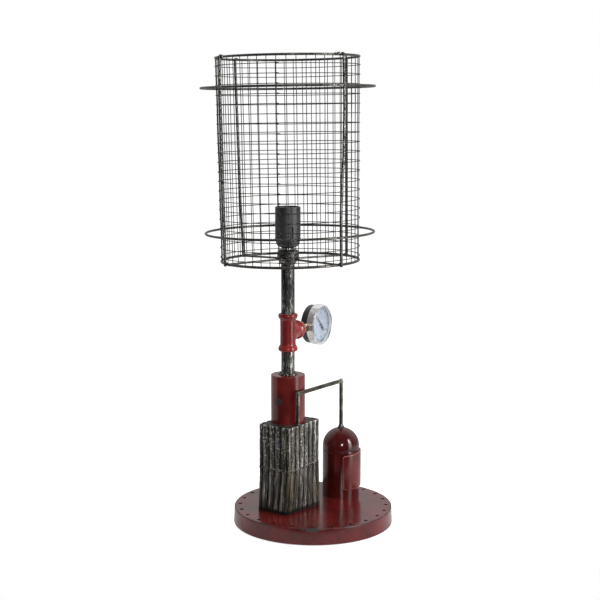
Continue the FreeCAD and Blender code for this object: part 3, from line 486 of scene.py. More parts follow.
def smooth(mesh, sharp):
    """Shade smooth, but for edges sharper than an angle in degrees."""
    mesh.shade_smooth()
    mesh.set_sharp_from_angle(angle=radians(sharp))


def set_marks(mesh, marks):
    mesh.attributes.new("mark", "FLOAT", "POINT").data.foreach_set("value", marks)


WELD_GAP = 2e-6


def make(name, shape, sharp=35):
    """A Blender object in metres from a shape, welded, with its normals outwards."""
    mesh = bpy.data.meshes.new(name)
    mesh.from_pydata([p * MM for p in shape.points], [], shape.faces)
    if shape.marks:
        set_marks(mesh, shape.marks)
    clean = bmesh.new()
    clean.from_mesh(mesh)
    bmesh.ops.remove_doubles(clean, verts=clean.verts, dist=WELD_GAP)
    bmesh.ops.recalc_face_normals(clean, faces=clean.faces)
    clean.to_mesh(mesh)
    clean.free()
    smooth(mesh, sharp)
    return linked(name, mesh)


def place_piece(obj, finish, replaces=(), body="root"):
    obj.data.materials.clear()
    obj.data.materials.append(finish)
    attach(obj, body)
    if replaces:
        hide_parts(*replaces)
    return obj


def piece(name, shape, finish, replaces=(), sharp=35):
    return place_piece(make(name, shape, sharp), finish, replaces)


def turned(name, profile, place, finish, replaces=(), sides=120, offset=None, sharp=35):
    """A piece turned from a profile."""
    shape = Shape()
    shape.lathe(profile, place, sides, offset)
    piece(name, shape, finish, replaces, sharp)


def evaluated_mesh(obj):
    """An object's mesh with its modifiers baked in."""
    bpy.context.view_layer.update()
    seen = obj.evaluated_get(bpy.context.evaluated_depsgraph_get())
    return bpy.data.meshes.new_from_object(seen)


def bake_modifiers(obj):
    mesh = evaluated_mesh(obj)
    obj.modifiers.clear()
    obj.data = mesh


def upright(x, y, z=0.0):
    return Matrix.Translation((x, y, z))


def wave(x, y=0.0, z=0.0):
    """Smooth noise from -1 to 1 with features about 1 apart."""
    return noise.noise(Vector((x, y, z)))


def rippled(beyond, *waves):
    """An offset for turned skins outside a radius, from waves of (depth, turns, rise)."""
    def offset(turn, height, radius):
        if radius <= beyond:
            return 0.0
        return sum(depth * wave(cos(turn) * turns, sin(turn) * turns, height * rise)
                   for depth, turns, rise in waves)
    return offset


def arc(centre_r, centre_z, radius, start, end, steps):
    """Corners of an arc in a (radius, height) profile, angles in degrees."""
    spots = []
    for k in range(steps + 1):
        a = radians(start + (end - start) * k / steps)
        spots.append((centre_r + radius * cos(a), centre_z + radius * sin(a)))
    return spots


# Base
BASE_RADIUS, BASE_FLARE, BASE_TOP, BASE_SHEET, PAN_LIFT = 116.0, 0.8, 25.0, 2.5, 1.5
RIM_HOLES, RIM_HOLE_RADIUS, RIM_HOLE_CIRCLE, RIM_HOLE_TURN = 24, 2.9, 107.5, 3.5
CORD_HOLE_RADIUS, CORD_HOLE_HEIGHT = 4.2, 10
POLE = Vector((-27.5, 25.5, 0.0))
PIPE_RADIUS = 9.75
PIPE_HOLE, PIPE_FIT = PIPE_RADIUS + 0.1, PIPE_RADIUS + 0.05
HOLE_SIDES, CUT_SHARP = 28, 32


def cut_holes(obj, rods):
    """Cut round holes given as (centre, direction, radius, length)."""
    shape = Shape()
    for centre, run, radius, length in rods:
        run = Vector(run).normalized() * (length / 2)
        shape.tube([Vector(centre) - run, Vector(centre) + run], radius, HOLE_SIDES)
    tool = make("holes", shape)
    hole = obj.modifiers.new("holes", "BOOLEAN")
    hole.solver = "EXACT"
    hole.object = tool
    bake_modifiers(obj)
    bpy.data.objects.remove(tool)
    smooth(obj.data, CUT_SHARP)


def base_pan(finish):
    low_out = BASE_RADIUS + BASE_FLARE
    inner, under = BASE_RADIUS - BASE_SHEET, BASE_TOP - BASE_SHEET
    profile = [(r, BASE_TOP) for r in (0.01, 40, 80, 104)]
    profile += arc(BASE_RADIUS - 1.3, BASE_TOP - 1.3, 1.3, 90, 2, 6)
    profile += [(BASE_RADIUS + BASE_FLARE * k / 4, BASE_TOP - 2 - 5 * k) for k in range(1, 4)]
    profile += arc(low_out - 0.7, PAN_LIFT + 0.7, 0.7, 0, -90, 4)
    profile += [(low_out - 2.4, PAN_LIFT), (inner, under), (0.01, under)]
    shape = Shape()
    shape.lathe(profile, Matrix(), 288)
    pan = make("base_pan_skin", shape)
    rods = []
    for k in range(RIM_HOLES):
        a = radians(RIM_HOLE_TURN + 360 * k / RIM_HOLES)
        rods.append((around(a, RIM_HOLE_CIRCLE, BASE_TOP), (0, 0, 1), RIM_HOLE_RADIUS, 12))
    rods.append(((POLE.x, POLE.y, BASE_TOP), (0, 0, 1), PIPE_HOLE, 12))
    rods.append(((0, BASE_RADIUS, CORD_HOLE_HEIGHT), (0, 1, 0), CORD_HOLE_RADIUS, 16))
    cut_holes(pan, rods)
    place_piece(pan, finish, ["base_pan"])


# Corrugated box
BOX_X, BOX_Y, BOX_LONG, BOX_WIDE = -28.0, 22.8, 77.0, 55.0
BOX_TOP, SEAM, TIER_SEAM = 152.5, 89.0, 88.8
RIDGE_DEPTH, SHEET, CORNER = 3.4, 1.2, 3.2
RIDGES = {"front": 7, "right": 5, "back": 7, "left": 5}
RIDGE_SEEDS = {"front": 0.0, "right": 20.0, "back": 40.0, "left": 60.0}
LONG_SIDES = ("front", "back")
FOOT_SHIFTS = {"left": (-1.5, 1.0), "front": (-4.5, 3.6), "right": (-5.0, -5.5), "back": (0.0, 0.0)}


def walk(side, share):
    """A point of the box's outline and its outward direction, from corner to corner of a side."""
    half, out = BOX_LONG / 2, BOX_WIDE / 2
    if side not in LONG_SIDES:
        half, out = out, half
    along = (share * 2 - 1) * half
    flat = half - CORNER
    if abs(along) <= flat:
        spot, face = Vector((along, -out)), Vector((0, -1))
    else:
        a = radians(45) * (abs(along) - flat) / CORNER
        face = Vector((copysign(sin(a), along), -cos(a)))
        spot = Vector((copysign(flat, along), CORNER - out)) + face * CORNER
    spin = Matrix.Rotation(radians(90 * list(RIDGES).index(side)), 2)
    return spin @ spot + Vector((BOX_X, BOX_Y)), spin @ face


def ridge_depth(side, share, height, tier):
    """How far the sheet lies inside its outline, with the ridges a little uneven."""
    count = RIDGES[side]
    seed = RIDGE_SEEDS[side] + 9.0 * tier
    loose = 0.07 if side in LONG_SIDES else 0.17
    sway = loose * wave(share * count * 0.8, height * 0.035, seed)
    sway += 0.06 * wave(share * 24, height * 0.12, seed)
    ends = min(1.0, 8 * min(share, 1 - share))
    place = share * count + sway * ends
    across = abs(place - round(place)) * 2
    fall = 1 - sqrt(max(0.0, 1 - (0.99 * across) ** 2))
    uneven = 1 + 0.22 * wave(round(place) * 3.7, height * 0.015, seed + 5)
    groove = 1.5 * max(0.0, wave(share * count * 2.9, height * 0.016, seed + 11) - 0.05)
    line = 0.9 * max(0.0, wave(share * count * 6.5, height * 0.03, seed + 17) - 0.08)
    return RIDGE_DEPTH * fall * uneven + groove + line


def skin_point(side, along, height, tier, inside=0.0):
    """A point of a panel; the lower tier leans by the shifts of its foot corners."""
    spot, face = walk(side, along)
    depth = ridge_depth(side, along, height, tier) + inside
    if inside == 0.0:
        depth -= 0.25 * wave(spot.x * 0.55, spot.y * 0.55, height * 0.42)
        depth -= 0.26 * wave(spot.x * 0.9, spot.y * 0.9, height * 0.7 + 7)
    spot = spot - face * depth
    if tier == 0:
        spread = max(0.0, (SEAM - height) / (SEAM - BASE_TOP)) ** 1.3
        u, v = (spot.x - BOX_X) / BOX_LONG + 0.5, (spot.y - BOX_Y) / BOX_WIDE + 0.5
        shares = {"left": (1 - u) * v, "front": (1 - u) * (1 - v), "right": u * (1 - v), "back": u * v}
        for corner, share in shares.items():
            spot += Vector(FOOT_SHIFTS[corner]) * (share * spread)
    return Vector((spot.x, spot.y, height))


def panel(side, tier):
    low, high = (BASE_TOP, TIER_SEAM) if tier == 0 else (TIER_SEAM, BOX_TOP)
    length = BOX_LONG if side in LONG_SIDES else BOX_WIDE
    columns = int(length / 0.6)
    levels = int((high - low) / 1.25)
    rows, marks = [], []
    for c in range(columns + 1):
        share = c / columns
        rim = 0.55 + 0.5 * wave(share * length * 0.16, tier * 5.0, 3.3)
        top = high + (rim if tier == 1 else 0.0)
        heights = [low + (top - low) * k / levels for k in range(levels + 1)]
        outer = [skin_point(side, share, z, tier) for z in heights]
        marks += [min(1.0, ridge_depth(side, share, z, tier) / RIDGE_DEPTH) for z in heights]
        behind = reversed(heights[::6] + heights[-1:])
        inner = [skin_point(side, share, z, tier, SHEET) for z in behind]
        marks += [1.0] * len(inner)
        rows.append(outer + inner)
    shape = Shape()
    shape.grid(rows, close_columns=True, caps=True)
    shape.marks = marks
    return shape


def seam_weld(finish):
    """A lumpy bead along the sheets where the tiers meet."""
    bead = Shape()
    path, radii = [], []
    for side in RIDGES:
        steps = 74 if side in LONG_SIDES else 54
        for k in range(steps):
            spot, face = walk(side, k / steps)
            depth = 0.75 * ridge_depth(side, k / steps, SEAM, 1)
            here = spot - face * (depth + 0.4)
            lift = 0.9 * wave(here.x * 0.12, here.y * 0.12, 2.0)
            lift += 1.1 * wave(here.x * 0.5, here.y * 0.5, 5.0)
            path.append(Vector((here.x, here.y, SEAM + lift)))
            radii.append(1.15 + 0.75 * wave(here.x * 0.6, here.y * 0.6, 8.0))
    bead.tube(path, radii, 10, closed=True)
    piece("seam_weld_bead", bead, finish, ["seam_weld"], sharp=80)


def top_plate(finish):
    """A flat plate that follows the sheets, with a hole for the pole."""
    rim, hole = [], []
    for side in RIDGES:
        for k in range(110):
            spot = skin_point(side, k / 110, BOX_TOP, 1, SHEET * 0.5)
            rim.append(spot)
            away = Vector((spot.x - POLE.x, spot.y - POLE.y, 0)).normalized()
            hole.append(Vector((POLE.x, POLE.y, BOX_TOP)) + away * PIPE_HOLE)
    drop = Vector((0, 0, -2))
    top = Shape()
    under = [[p + drop for p in ring] for ring in (hole, rim)]
    top.grid([rim, hole, *under], close_rows=True, close_columns=True)
    piece("box_top_plate_skin", top, finish, ["box_top_plate"])


def corrugated_box(finish, weld, plate):
    for tier, word in enumerate(("lower", "upper")):
        for side in RIDGES:
            name = f"{word}_{side}_panel"
            piece(name + "_skin", panel(side, tier), finish, [name], sharp=60)
    seam_weld(weld)
    top_plate(plate)


# Sleeve, tee, collar and lampholder on the pole
SLEEVE_RADIUS, SLEEVE_TOP, SLEEVE_WALL = 24.8, 222.5, 2
TEE_MIDDLE, TEE_HALF, TEE_RADIUS, TEE_REACH = 284.5, 27.5, 11.2, 28.0
BRANCH_TURN = radians(6)
BRANCH = around(BRANCH_TURN, 1)
BELL = [(12.2, 0.0), (13.2, 0.35), (13.95, 1.5), (14.15, 3.2), (13.9, 5.0), (13.1, 6.6),
        (12.1, 8.2), (11.3, 10.0)]
CAST_GRAIN = 0.55
COLLAR_TOP = 404.5
HOLDER_LOW, HOLDER_JOINT, HOLDER_TOP = 407.0, 418.7, 466.0
HOLDER_RADIUS, HOLDER_WALL = 18.2, 2.2
LATCH_TURN, LATCH_HALF = radians(227.5), radians(13.5)
LATCH_LOW, LATCH_HIGH = 421.5, 437.5


def on_pole(z=0.0):
    return upright(POLE.x, POLE.y, z)


def sleeve(finish, weld):
    inside = SLEEVE_RADIUS - SLEEVE_WALL
    under = SLEEVE_TOP - SLEEVE_WALL
    profile = [(inside, BOX_TOP)]
    profile += [(SLEEVE_RADIUS, BOX_TOP + (SLEEVE_TOP - 1 - BOX_TOP) * k / 20) for k in range(21)]
    profile += arc(SLEEVE_RADIUS - 0.7, SLEEVE_TOP - 0.7, 0.7, 12, 90, 4)
    profile += [(PIPE_HOLE, SLEEVE_TOP), (PIPE_HOLE, under), (inside, under)]
    turned("red_sleeve_skin", profile, on_pole(), finish, ["red_sleeve", "sleeve_cap"],
           192, rippled(20, (0.12, 1.5, 0.03)))

    ring = [(PIPE_FIT, 0), (13.2, 0), (13.0, 0.9), (12.3, 2.0), (11.4, 3.0), (10.7, 4.0), (PIPE_FIT, 4.5)]
    turned("pipe_weld_bead", ring, on_pole(SLEEVE_TOP), weld, ["pipe_weld_ring"],
           offset=rippled(10.5, (1.5, 3.2, 0.5), (0.6, 9, 1)), sharp=70)


def tee(finish):
    """A cast tee: rods and bead-ended bells melted together by a fine remesh."""
    shape = Shape()
    axis = Matrix.Translation(POLE + Vector((0, 0, TEE_MIDDLE)))
    side = axis @ Matrix.Rotation(BRANCH_TURN, 4, "Z") @ Matrix.Rotation(radians(90), 4, "Y")
    flip = axis @ Matrix.Rotation(radians(180), 4, "X")
    for place, reach in ((axis, TEE_HALF), (flip, TEE_HALF), (side, TEE_REACH)):
        ends = [(0.01, reach)] + [(r, reach - d) for r, d in BELL] + [(TEE_RADIUS, 0), (0.01, 0)]
        shape.lathe(ends, place, 96, closed=False)
    obj = make("pipe_tee_casting", shape)
    melt = obj.modifiers.new("melt", "REMESH")
    melt.mode = "VOXEL"
    melt.voxel_size = CAST_GRAIN * MM
    soften = obj.modifiers.new("soften", "SMOOTH")
    soften.factor = 0.5
    soften.iterations = 7
    bake_modifiers(obj)
    outward = [Vector(n.vector) for n in obj.data.vertex_normals]
    cast = []
    for v, normal in zip(obj.data.vertices, outward):
        p = v.co / MM
        swell = 0.07 * wave(p.x * 0.3, p.y * 0.3, p.z * 0.3) + 0.03 * wave(p.x, p.y, p.z)
        cast.extend((p + normal * swell) * MM)
    obj.data.vertices.foreach_set("co", cast)
    obj.data.update()
    obj.data.shade_smooth()
    place_piece(obj, finish, ["pipe_tee"])


def collar(weld):
    rough = rippled(10.5, (0.9, 3, 0.35), (0.45, 8, 0.9))
    hub = [(PIPE_FIT, 383.5), (10.6, 383.9), (11.6, 385.6), (13.6, 388.0), (15.2, 390.3),
           (15.4, 392.4), (PIPE_FIT, 392.4)]
    turned("spider_hub_weld", hub, on_pole(), weld, ["spider_hub"], offset=rough, sharp=70)
    top = [(PIPE_FIT, 392.5), (14.6, 392.5), (15.2, 393.6), (15.5, 396.0), (15.3, 399.0), (14.9, 401.6),
           (13.8, 403.6), (12.0, 404.6), (9.0, COLLAR_TOP + 0.3), (5.0, COLLAR_TOP), (5.0, 401.2),
           (PIPE_FIT, 401.2)]
    turned("top_collar_weld", top, on_pole(), weld, ["top_collar"], offset=rough, sharp=70)


def latch(turn, height, radius):
    """An offset that sinks the skirt's latch window."""
    aside = abs((turn - LATCH_TURN + pi) % tau - pi)
    if radius < HOLDER_RADIUS - 0.5 or aside >= LATCH_HALF or not LATCH_LOW < height < LATCH_HIGH:
        return 0.0
    return -1.3 - 0.5 * (height - LATCH_LOW) / (LATCH_HIGH - LATCH_LOW)


def lampholder(finish):
    inner, joint, lip = HOLDER_RADIUS - HOLDER_WALL, HOLDER_JOINT, HOLDER_RADIUS + 0.55
    profile = [(inner, joint), (HOLDER_RADIUS + 0.3, joint), (lip, joint + 0.5), (lip, joint + 1.8),
               (HOLDER_RADIUS, joint + 2.3)]
    profile += [(HOLDER_RADIUS, joint + 2.3 + 0.4 * k) for k in range(1, 44)]
    profile += [(HOLDER_RADIUS, z) for z in (442, 450, 458, 463)]
    profile += arc(HOLDER_RADIUS - 1.3, HOLDER_TOP - 1.3, 1.3, 0, 90, 6)
    profile += [(inner - 0.8, HOLDER_TOP), (inner - 0.8, HOLDER_TOP - 1.2), (inner, HOLDER_TOP - 1.2)]
    turned("holder_skirt_moulding", profile, on_pole(), finish, ["holder_skirt"],
           216, latch, sharp=40)

    low = HOLDER_LOW
    profile = [(5.0, low), (9.0, low), (9.6, low + 0.3), (10.4, low + 1.2)]
    for k in range(1, 9):
        a = radians(90 * k / 8)
        profile.append((10.4 + 6.8 * sin(a), low + 1.2 + 8.6 * (1 - cos(a))))
    profile += [(17.6, joint - 1.2), (17.6, joint - 0.05), (16.0, joint - 0.05), (15.0, joint - 1.8),
                (10.0, low + 3.2), (5.0, low + 3.2)]
    turned("holder_cap_moulding", profile, on_pole(), finish, ["holder_cap"], sharp=40)


# Shade, in its own leaning frame
SHADE = Matrix.Translation((-25.5, 22.7, 392.0)) @ Matrix.Rotation(radians(-0.95), 4, "X")
BOTTOM_R, BOTTOM_Z, BOTTOM_WIRE = 98.0, -2.8, 1.9
TOP_R, TOP_Z, TOP_WIRE = 100.9, 283.2, 1.7
# Radius of each strut, and its angle at some heights
STRUTS = (
    (2.0, ((-3, 78.6), (100, 80.6), (283, 82.0))),
    (2.0, ((-3, 152.6), (60, 151.4), (150, 151.6), (283, 153.6))),
    (2.1, ((-3, 258.9), (59, 258.7), (108, 259.8), (150, 262.0), (215, 262.9), (283, 262.2))),
    (2.1, ((-3, 341.0), (283, 341.0))),
)
STRUT_TAIL = 2.6
MESH_WIRE, MESH_PITCH, HOOPS, FIRST_HOOP, UPRIGHTS = 0.58, 13.4, 21, 6.4, 47
MESH_SEAM = 206.0
UPRIGHT_STEPS, HOOP_STEPS, STRUT_STEPS = 42, 190, 60
# Turn, reach and height from a ring, radii and seed of the loose lumps of weld on the two rings
TOP_LUMPS = ((258.0, 1.2, 0.9, (3.2, 3.0, 2.2), 31.0), (255.2, 0.8, 0.7, (2.6, 2.4, 1.7), 37.0))
BOTTOM_LUMPS = ((157.0, 0.9, 0.2, (3.2, 3.0, 2.0), 41.0),)


def wall(height):
    """The shade's radius at a height."""
    return BOTTOM_R + (TOP_R - BOTTOM_R) * (height - BOTTOM_Z) / (TOP_Z - BOTTOM_Z)


def polar(degrees, radius, height):
    return SHADE @ around(radians(degrees), radius, height)


def mesh_uprights(finish):
    uprights = Shape()
    foot, head = BOTTOM_Z + BOTTOM_WIRE, TOP_Z - TOP_WIRE
    for i in range(UPRIGHTS):
        path = []
        for k in range(UPRIGHT_STEPS + 1):
            z = foot + (head - foot) * k / UPRIGHT_STEPS
            sway = 0.16 * wave(i * 1.9, z * 0.012, 1.0)
            bulge = 0.35 * wave(i * 0.35, z * 0.02, 4.0)
            path.append(polar(360 * i / UPRIGHTS + sway, wall(z) + bulge, z))
        uprights.tube(path, MESH_WIRE, 6)
    piece("mesh_upright_wires", uprights, finish, ["mesh_uprights"], sharp=80)


def mesh_hoops(finish):
    """Hoops outside the uprights, each lapped over itself at the mesh's seam."""
    hoops = Shape()
    for i in range(HOOPS):
        z0 = BOTTOM_Z + FIRST_HOOP + i * MESH_PITCH
        path = []
        overlap = 3.2 + 1.2 * wave(i * 2.3, 0.5)
        for k in range(HOOP_STEPS + 1):
            turn = MESH_SEAM + (360 + overlap) * k / HOOP_STEPS
            z = z0 + 0.30 * wave(turn * 0.025, i * 1.3, 6.0) + 0.5 * k / HOOP_STEPS
            bulge = 0.35 * wave(turn / 360 * UPRIGHTS * 0.35, z * 0.02, 4.0)
            lap = 1.1 * max(0.0, (k - HOOP_STEPS + 4) / 4)
            path.append(polar(turn, wall(z0) + 2 * MESH_WIRE + bulge + lap, z))
        hoops.tube(path, MESH_WIRE, 6)
        joint = polar(MESH_SEAM + overlap * 0.5, wall(z0) + 1.6, z0 + 0.4)
        hoops.blob(joint, (1.7, 1.7, 1.15), i * 1.7, 0.3)
    piece("mesh_hoop_wires", hoops, finish, ["mesh_hoops"], sharp=80)


def strut_turn(keys, z):
    """The angle of a bent strut at a height, smoothed between its keys."""
    for (low, first), (high, last) in zip(keys, keys[1:]):
        if z <= high or high == keys[-1][0]:
            share = max(0.0, min(1.0, (z - low) / (high - low)))
            return first + (last - first) * share * share * (3 - 2 * share)


def struts(finish, weld):
    bars, beads = Shape(), Shape()
    reach = BOTTOM_WIRE + 2.25
    foot = BOTTOM_Z - STRUT_TAIL
    for i, (thick, keys) in enumerate(STRUTS):
        path, radii = [], []
        for k in range(STRUT_STEPS + 1):
            z = foot + (TOP_Z + 1.2 - foot) * k / STRUT_STEPS
            path.append(polar(strut_turn(keys, z), wall(z) + reach, z))
            radii.append(thick * (1 + 0.05 * wave(z * 0.2, i * 5.0, 1.0)))
        bars.tube(path, radii, 14)
        for z in (BOTTOM_Z, TOP_Z):
            turn = strut_turn(keys, z)
            for s in (-1, 1):
                aside = polar(turn + 1.2 * s, wall(z) + 1.6, z + 0.3)
                beads.blob(aside, (2.5, 2.5, 2.0), i * 3 + s + z, 0.4)
            beads.blob(polar(turn, wall(z) + 2.0, z + 1.2), (2.6, 2.6, 1.9), i * 7 + z * 0.3, 0.4)
    for ring, level, lumps in ((TOP_R, TOP_Z, TOP_LUMPS), (BOTTOM_R, BOTTOM_Z, BOTTOM_LUMPS)):
        for turn, out, up, radii, seed in lumps:
            beads.blob(polar(turn, ring + out, level + up), radii, seed, 0.5)
    piece("shade_strut_bars", bars, finish, ["shade_struts"], sharp=60)
    piece("shade_ring_welds", beads, weld, sharp=80)


# Gauge, in a frame whose Z looks out of the dial
GAUGE_NORMAL = Vector((sin(BRANCH_TURN), -cos(BRANCH_TURN), 0))
GAUGE_CENTRE = POLE + Vector((0, 0, TEE_MIDDLE)) + BRANCH * 80 + GAUGE_NORMAL * 3.4
GAUGE = Matrix.Translation(GAUGE_CENTRE) @ Matrix(
    ((BRANCH.x, 0, GAUGE_NORMAL.x, 0), (BRANCH.y, 0, GAUGE_NORMAL.y, 0), (0, 1, 0, 0), (0, 0, 0, 1)))
DIAL_Z, ZERO_TURN, SWEEP, MARKS = 5.6, 133.5, 270.0, 24.8
MARK_SIZES = ((10, (4.2, 0.50)), (5, (3.2, 0.32)), (1, (2.3, 0.18)))
# A printed ring at the marks' ends, and a dark ring at the dial's rim that is painted shade under the bezel
# wall.
PRINT_AND_SHADE_RINGS = ((MARKS, MARKS + 0.35), (26.2, 27.7))
NUMBER_CIRCLE, NUMBER_SIZE = 18.4, 6.2


def dial_direction(share):
    """The angle of a share of the pointer's sweep."""
    return radians(ZERO_TURN - SWEEP * share)


def graduations(finish, pale):
    """Marks for 0 to 10, a printed ring at their ends, a dark ring of painted shade outside them, and a
    pale ring of painted reflection round them.
    """
    shape = Shape()
    for k in range(101):
        a = dial_direction(k / 100)
        long, wide = next(size for every, size in MARK_SIZES if k % every == 0)
        run, across = around(a, 1), Vector((-sin(a), cos(a), 0))
        sides = ((MARKS - long, -wide), (MARKS, -wide), (MARKS, wide), (MARKS - long, wide))
        corners = [run * reach + across * side for reach, side in sides]
        rows = [[GAUGE @ (c + Vector((0, 0, DIAL_Z + h))) for c in corners] for h in (0.0, 0.06)]
        shape.grid(rows, close_columns=True, caps=True)
    low, high = DIAL_Z, DIAL_Z + 0.05
    for inner, outer in PRINT_AND_SHADE_RINGS:
        shape.lathe([(inner, low), (outer, low), (outer, high), (inner, high)], GAUGE, 120)
    piece("dial_graduations", shape, finish)
    # Painted reflection: a pale ring inside the bezel stands in for its bright inner wall.
    reflection_ring = [(27.75, high + 0.05), (27.75, 8.9), (27.25, 8.9), (27.45, high + 0.05)]
    turned("dial_reflection_ring", reflection_ring, GAUGE, pale)


def dial_numbers(finish):
    """Even numbers from 0 to 10, upright when the stem points down."""
    joined = bmesh.new()
    for k in range(0, 11, 2):
        text = bpy.data.curves.new("number", "FONT")
        text.body = str(k)
        text.align_x = text.align_y = "CENTER"
        text.size = NUMBER_SIZE
        text.extrude = 0.03
        obj = linked("number", text)
        spot = upright(*around(dial_direction(k / 10), NUMBER_CIRCLE, DIAL_Z + 0.04))
        mesh = evaluated_mesh(obj)
        mesh.transform(Matrix.Scale(MM, 4) @ GAUGE @ spot @ Matrix.Rotation(radians(-90), 4, "Z"))
        bpy.data.objects.remove(obj)
        joined.from_mesh(mesh)
    whole = bpy.data.meshes.new("dial_numbers")
    joined.to_mesh(whole)
    joined.free()
    place_piece(linked("dial_numbers", whole), finish)


# Tank, plate and tie rod
TANK = Vector((67.7, -4.5, 0.0))
TANK_RADIUS, TANK_WALL, TANK_SEAM, DOME_SKIRT = 27.7, 1.6, 96.0, 4.5
DOME_TOP = TANK_SEAM + DOME_SKIRT + TANK_RADIUS
PLATE_THICK, PLATE_FROM, PLATE_SWEEP, PLATE_CORNER = 2.6, 218.0, 106.0, 5.0
PLATE_BEVEL = ((0.0, 0.06), (0.0, 1.6), (0.35, 2.2), (1.0, 2.5), (1.7, PLATE_THICK))
# Heights in the plate's bevel whose points carry the painted highlight.
HIGHLIGHT_FROM, HIGHLIGHT_TO = 1.9, 2.55
ROD_RADIUS, ROD_LEVEL = 3.0, 199.6
ROD_FOOT = Vector((-42.1, -2.2, BOX_TOP))


def tank(finish):
    place = upright(TANK.x, TANK.y)
    dent = rippled(26.5, (0.10, 1.4, 0.035))
    inside, shoulder = TANK_RADIUS - TANK_WALL, TANK_RADIUS - 0.55
    low, high = TANK_SEAM - 0.02, TANK_SEAM + 0.02
    profile = [(inside, BASE_TOP), (TANK_RADIUS, BASE_TOP)]
    profile += [(TANK_RADIUS, BASE_TOP + (TANK_SEAM - 0.6 - BASE_TOP) * k / 24) for k in range(1, 25)]
    profile += [(TANK_RADIUS - 0.15, TANK_SEAM - 0.3), (shoulder, low), (inside, low)]
    turned("tank_body_skin", profile, place, finish, ["tank_body"], 192, dent)

    profile = [(inside, high), (shoulder, high), (TANK_RADIUS - 0.1, TANK_SEAM + 0.35)]
    profile += [(TANK_RADIUS, TANK_SEAM + 1 + 1.75 * k) for k in range(3)]
    profile += arc(0, TANK_SEAM + DOME_SKIRT, TANK_RADIUS, 3, 89.6, 40)
    profile += arc(0, TANK_SEAM + DOME_SKIRT, inside, 89.6, 3, 20)
    turned("tank_dome_skin", profile, place, finish, ["tank_dome"], 192, dent)


def plate_outline(long, inset, out):
    """The flat plate's outline with round corners, drawn in by an inset, out from the tank."""
    ring = []
    for u, z, side, up, start in ((0, 38.2, 1, 1, 180), (long, 39.8, -1, 1, 270),
                                  (long, 95.4, -1, -1, 0), (0, 91.2, 1, -1, 90)):
        centre_u, centre_z = u + side * PLATE_CORNER, z + up * PLATE_CORNER
        reach = PLATE_CORNER - inset
        for k in range(9):
            a = radians(start + 90 * k / 8)
            ring.append(Vector((centre_u + reach * cos(a), centre_z + reach * sin(a), out)))
    return ring


def tank_plate(finish):
    """A bent plate with rounded corners, its top edge rising to the right."""
    radius = TANK_RADIUS + PLATE_THICK
    long = radians(PLATE_SWEEP) * radius
    flat = bmesh.new()
    rings = [[flat.verts.new(p) for p in plate_outline(long, inset, out)] for inset, out in PLATE_BEVEL]
    count = len(rings[0])
    for low, high in zip(rings, rings[1:]):
        for k in range(count):
            flat.faces.new((low[k], low[(k + 1) % count], high[(k + 1) % count], high[k]))
    flat.faces.new(rings[0][::-1])
    flat.faces.new(rings[-1])
    for k in range(1, int(long / 2)):
        geometry = flat.verts[:] + flat.edges[:] + flat.faces[:]
        bmesh.ops.bisect_plane(flat, geom=geometry, plane_co=(2 * k, 0, 0), plane_no=(1, 0, 0))
    marks = []
    for v in flat.verts:
        # Marked points get the enamel's painted highlight.
        marks.append(1.0 if HIGHLIGHT_FROM < v.co.z < HIGHLIGHT_TO else 0.0)
        turn = radians(PLATE_FROM) + v.co.x / radius
        reach = TANK_RADIUS + v.co.z
        v.co = Vector((TANK.x + reach * cos(turn), TANK.y + reach * sin(turn), v.co.y)) * MM
    bmesh.ops.recalc_face_normals(flat, faces=flat.faces)
    mesh = bpy.data.meshes.new("tank_plate_skin")
    flat.to_mesh(mesh)
    flat.free()
    set_marks(mesh, marks)
    smooth(mesh, 50)
    place_piece(linked("tank_plate_skin", mesh), finish, ["tank_plate"])


def mitred(shape, corners, radius, sides=20):
    """A rod with sharp mitred corners."""
    runs = [(b - a).normalized() for a, b in zip(corners, corners[1:])]
    side = runs[0].orthogonal().normalized()
    offsets = [Matrix.Rotation(tau * k / sides, 3, runs[0]) @ side * radius for k in range(sides)]
    rings = []
    for i, corner in enumerate(corners):
        before = runs[max(0, i - 1)]
        after = runs[min(len(runs) - 1, i)]
        face = (before + after).normalized()
        rings.append([corner + o - before * (o.dot(face) / before.dot(face)) for o in offsets])
        turn = before.rotation_difference(after)
        offsets = [turn @ o for o in offsets]
        if i < len(corners) - 1:
            stop = (corners[i + 1] - corner).length
            for k in range(11):
                along = corner + after * stop * (0.08 + 0.84 * k / 10)
                swell = 1 + 0.03 * wave(along.x * 0.2, along.z * 0.2, 3.0)
                rings.append([along + o * swell for o in offsets])
    shape.grid(rings, close_columns=True, caps=True)


